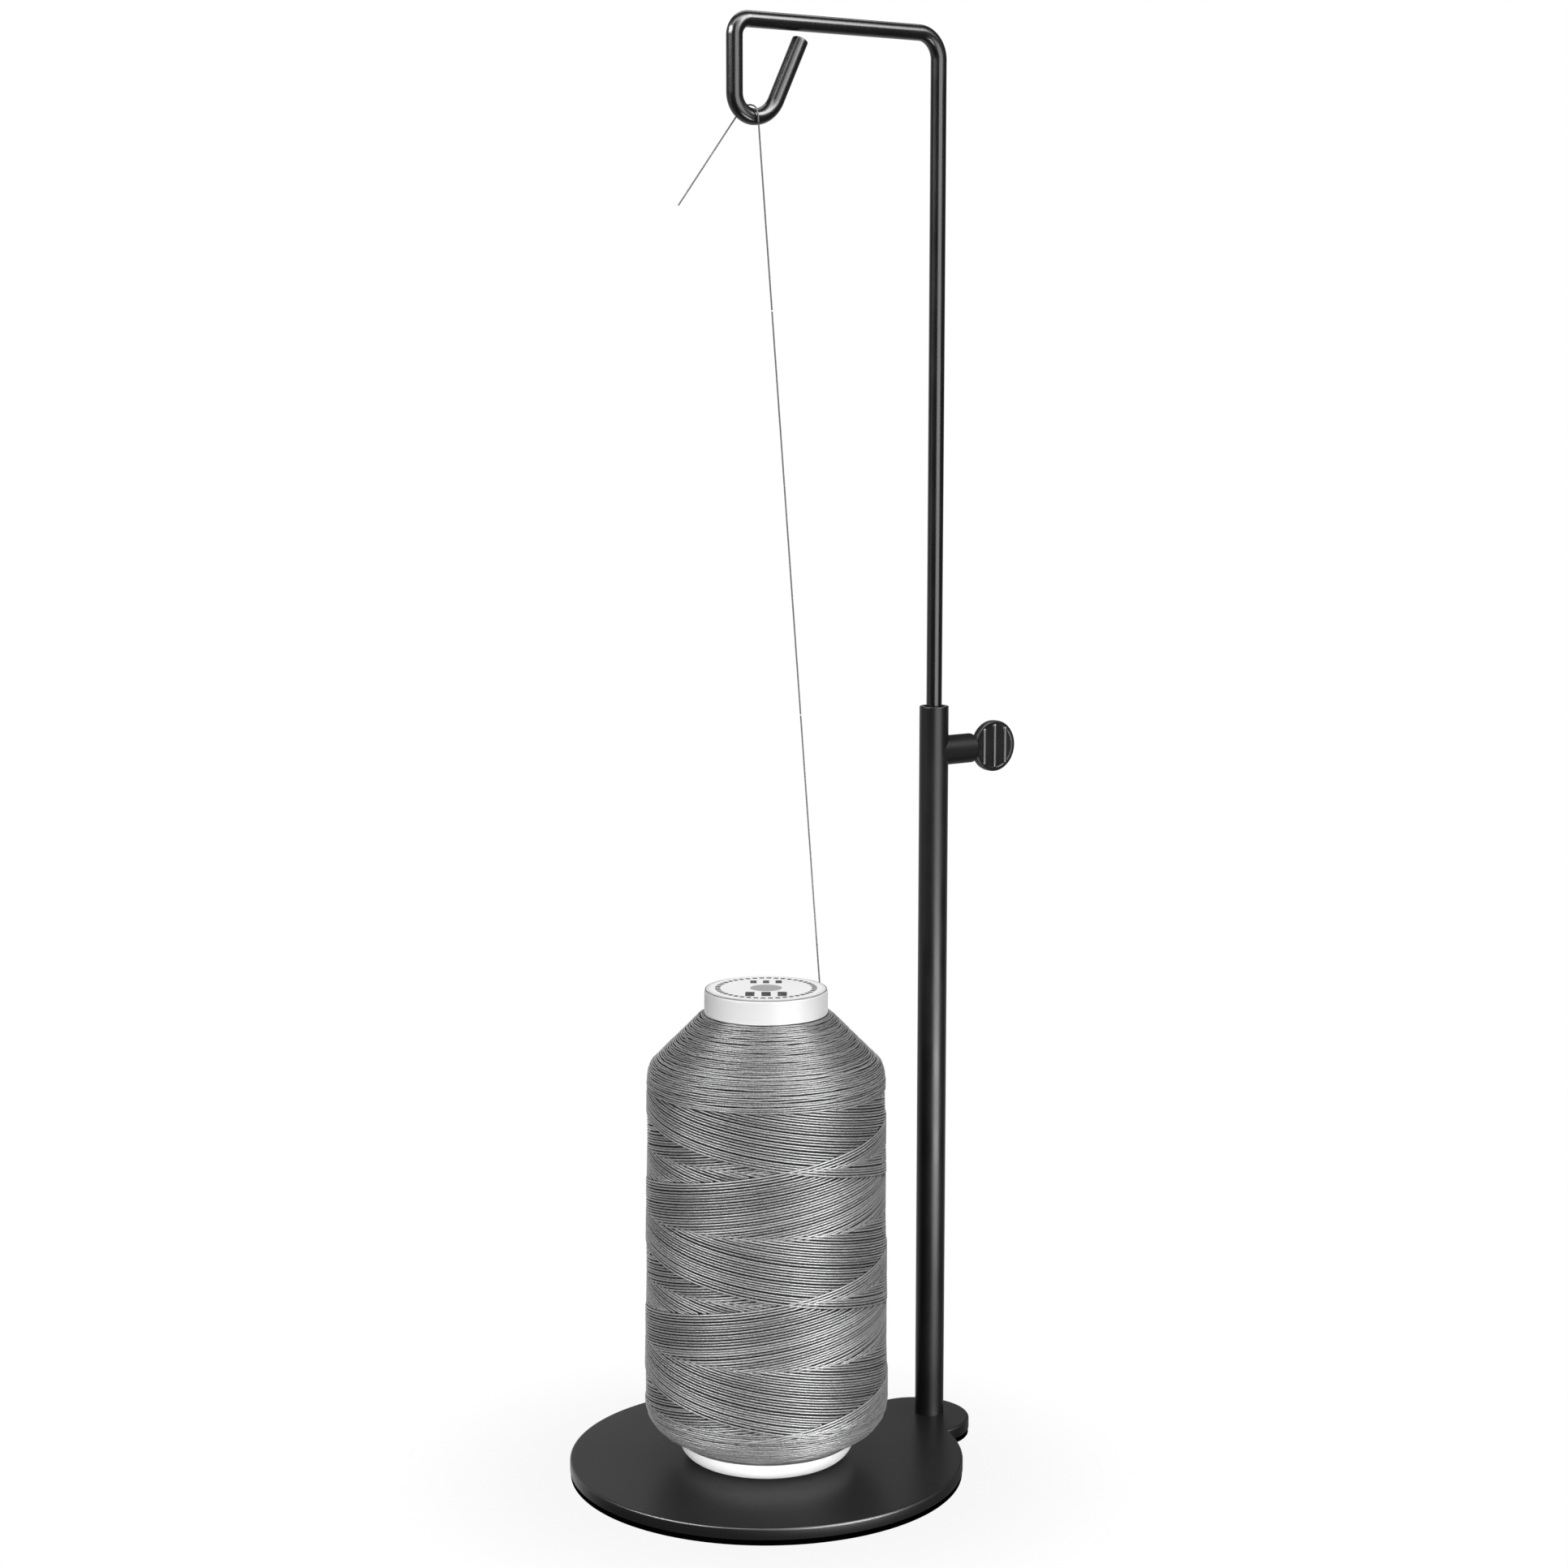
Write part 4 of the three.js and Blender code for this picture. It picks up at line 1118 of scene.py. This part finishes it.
# Lead-off: the last of the wound thread, the same grey polyester as the free one. It lies along the
# package's upper edge, then lifts off it and meets the free thread.
LEAD_RADIUS = 29.9
LEAD_BOTTOM = 103.0
LEAD_RISE = 0.5
LEAD_FROM = 80
LEAD_TO = 112
LEAD_STEPS = 8
lead = []
for step in range(LEAD_STEPS + 1):
    share = step / LEAD_STEPS
    turn = math.radians(LEAD_FROM + (LEAD_TO - LEAD_FROM) * share)
    lead.append((LEAD_RADIUS * math.cos(turn), LEAD_RADIUS * math.sin(turn), LEAD_BOTTOM + LEAD_RISE * share))
lead += [(-12.1, 27.3, 103.75), LOWER_ROUTE[0]]
lead_off = tube("thread_lead_off", through(lead), free_thread)
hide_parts("thread_outer_layer")
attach(lead_off, "spool")


# Setting: a plain white table before a white backdrop, in a studio that is dim behind the camera. The
# eye sees white all round, and gloss shows the backdrop and the table's far half. The lamps are soft
# panels out of view: some light only what is matt, and the others show only in what is glossy.
BACKDROP = (-0.996, 0.087, 0)
AMBIENT = 0.3
DIM = 0.15
TABLE_RADIUS = 4000
TABLE_Z = -0.05


def share_seen(graph, way, near, far):
    """How white a thing is to the ray that finds it: 1 to the eye and through glass. To gloss it goes
    from DIM to 1 as way, the direction to the thing, turns from near to far towards the backdrop."""
    rays = graph.node("ShaderNodeLightPath", out="Is Camera Ray")
    sockets = {0: way, 1: BACKDROP}
    backwards = graph.node("ShaderNodeVectorMath", {"operation": "DOT_PRODUCT"}, sockets, out="Value")
    glossy = rays.also("Is Glossy Ray") * graph.step(backwards, near, far, DIM, 1.0)
    return (rays + glossy + rays.also("Is Transmission Ray")).math("MINIMUM", 1.0)


world = bpy.data.worlds.new("studio")
bpy.context.scene.world = world
world.use_nodes = True
sky = Graph(world.node_tree)
backdrop = world.node_tree.nodes["Background"]
backdrop.inputs["Color"].default_value = (1, 1, 1, 1)
rays = sky.node("ShaderNodeLightPath", out="Is Diffuse Ray")
seen = share_seen(sky, sky.node("ShaderNodeTexCoord", out="Generated"), near=0.72, far=0.9)
strength = seen.math("MAXIMUM", rays * AMBIENT)
world.node_tree.links.new(strength.socket, backdrop.inputs["Strength"])

table = bpy.data.materials.new("white_table")
table.use_nodes = True
top = Graph(table.node_tree)
table.node_tree.nodes.remove(table.node_tree.nodes["Principled BSDF"])
matt = top.node("ShaderNodeBsdfDiffuse", sockets={"Color": (0.9, 0.9, 0.9, 1)})
glow = top.node("ShaderNodeEmission", sockets={"Color": (1, 1, 1, 1), "Strength": 1.0})
here = top.node("ShaderNodeTexCoord", out="Object")
away = top.node("ShaderNodeVectorMath", {"operation": "LENGTH"}, {0: here}, out="Value")
towards = top.node("ShaderNodeVectorMath", {"operation": "NORMALIZE"}, {0: here})
white = share_seen(top, towards, near=-0.2, far=0.5) * top.step(away, 0.05, 0.1, 0.93, 1.0)
blend = top.node("ShaderNodeMixShader", sockets={0: white, 1: matt, 2: glow})
table.node_tree.links.new(blend.socket, table.node_tree.nodes["Material Output"].inputs["Surface"])
# The table's disc is turned from its edge in and back out, and the lamps were set with both its skins.
floor = piece("table", *turned([(TABLE_RADIUS, TABLE_Z), (0, TABLE_Z)], 96), table)

# Each lamp: its bearing and distance, the height of its middle, its width and height, the height it
# points at, how bright its face is, and whether it shows in what is glossy or lights what is matt.
for name, bearing, distance, height, size, aim, glare, glossy in (
    ("left_softbox", 278, 0.9, 0.75, (0.5, 1.5), 0.6, 0.95, False),
    ("right_softbox", 16, 0.9, 0.75, (0.4, 1.5), 0.6, 0.9, False),
    ("far_right_softbox", 60, 0.9, 0.75, (0.4, 1.5), 0.6, 2.6, False),
    ("top_softbox", 0, 0.01, 1.25, (0.8, 0.8), 0.0, 3.0, False),
    ("back_softbox", 145, 0.9, 0.75, (0.8, 1.2), 0.3, 0.9, False),
    ("low_fill", 325, 0.35, 0.03, (0.4, 0.05), 0.02, 22.0, False),
    ("window_panel", 0, 0.65, 0.75, (0.58, 1.5), 0.75, 10.0, True),
    ("low_window", 10, 0.26, 0.03, (0.2, 0.06), 0.03, 65.0, True),
    ("left_strip", 251, 0.8, 0.75, (0.3, 1.5), 0.75, 1.1, True),
    ("arm_strip", 41, 0.75, 0.8, (0.3, 0.4), 0.36, 13.0, True),
    ("left_high", 264, 0.85, 0.76, (0.8, 0.4), 0.06, 54.0, True),
    ("right_high", 26, 0.8, 0.86, (0.5, 0.6), 0.06, 28.0, True),
    ("top_light", 145, 0.5, 1.0, (0.6, 0.4), 0.06, 3.0, True),
    ("rim_light", 325, 0.35, 1.0, (0.9, 0.3), 0.0, 14.0, True),
):
    lamp = bpy.data.lights.new(name, "AREA")
    lamp.shape = "RECTANGLE"
    lamp.size, lamp.size_y = size
    lamp.energy = glare * math.pi * size[0] * size[1]
    stand = linked(name, lamp)
    around = math.radians(bearing)
    stand.location = (distance * math.cos(around), distance * math.sin(around), height)
    stand.rotation_euler = (stand.location - Vector((0, 0, aim))).to_track_quat("Z", "Y").to_euler()
    stand.visible_camera = False
    stand.visible_diffuse = not glossy
    stand.visible_glossy = glossy

bpy.context.scene.view_settings.view_transform = "Standard"
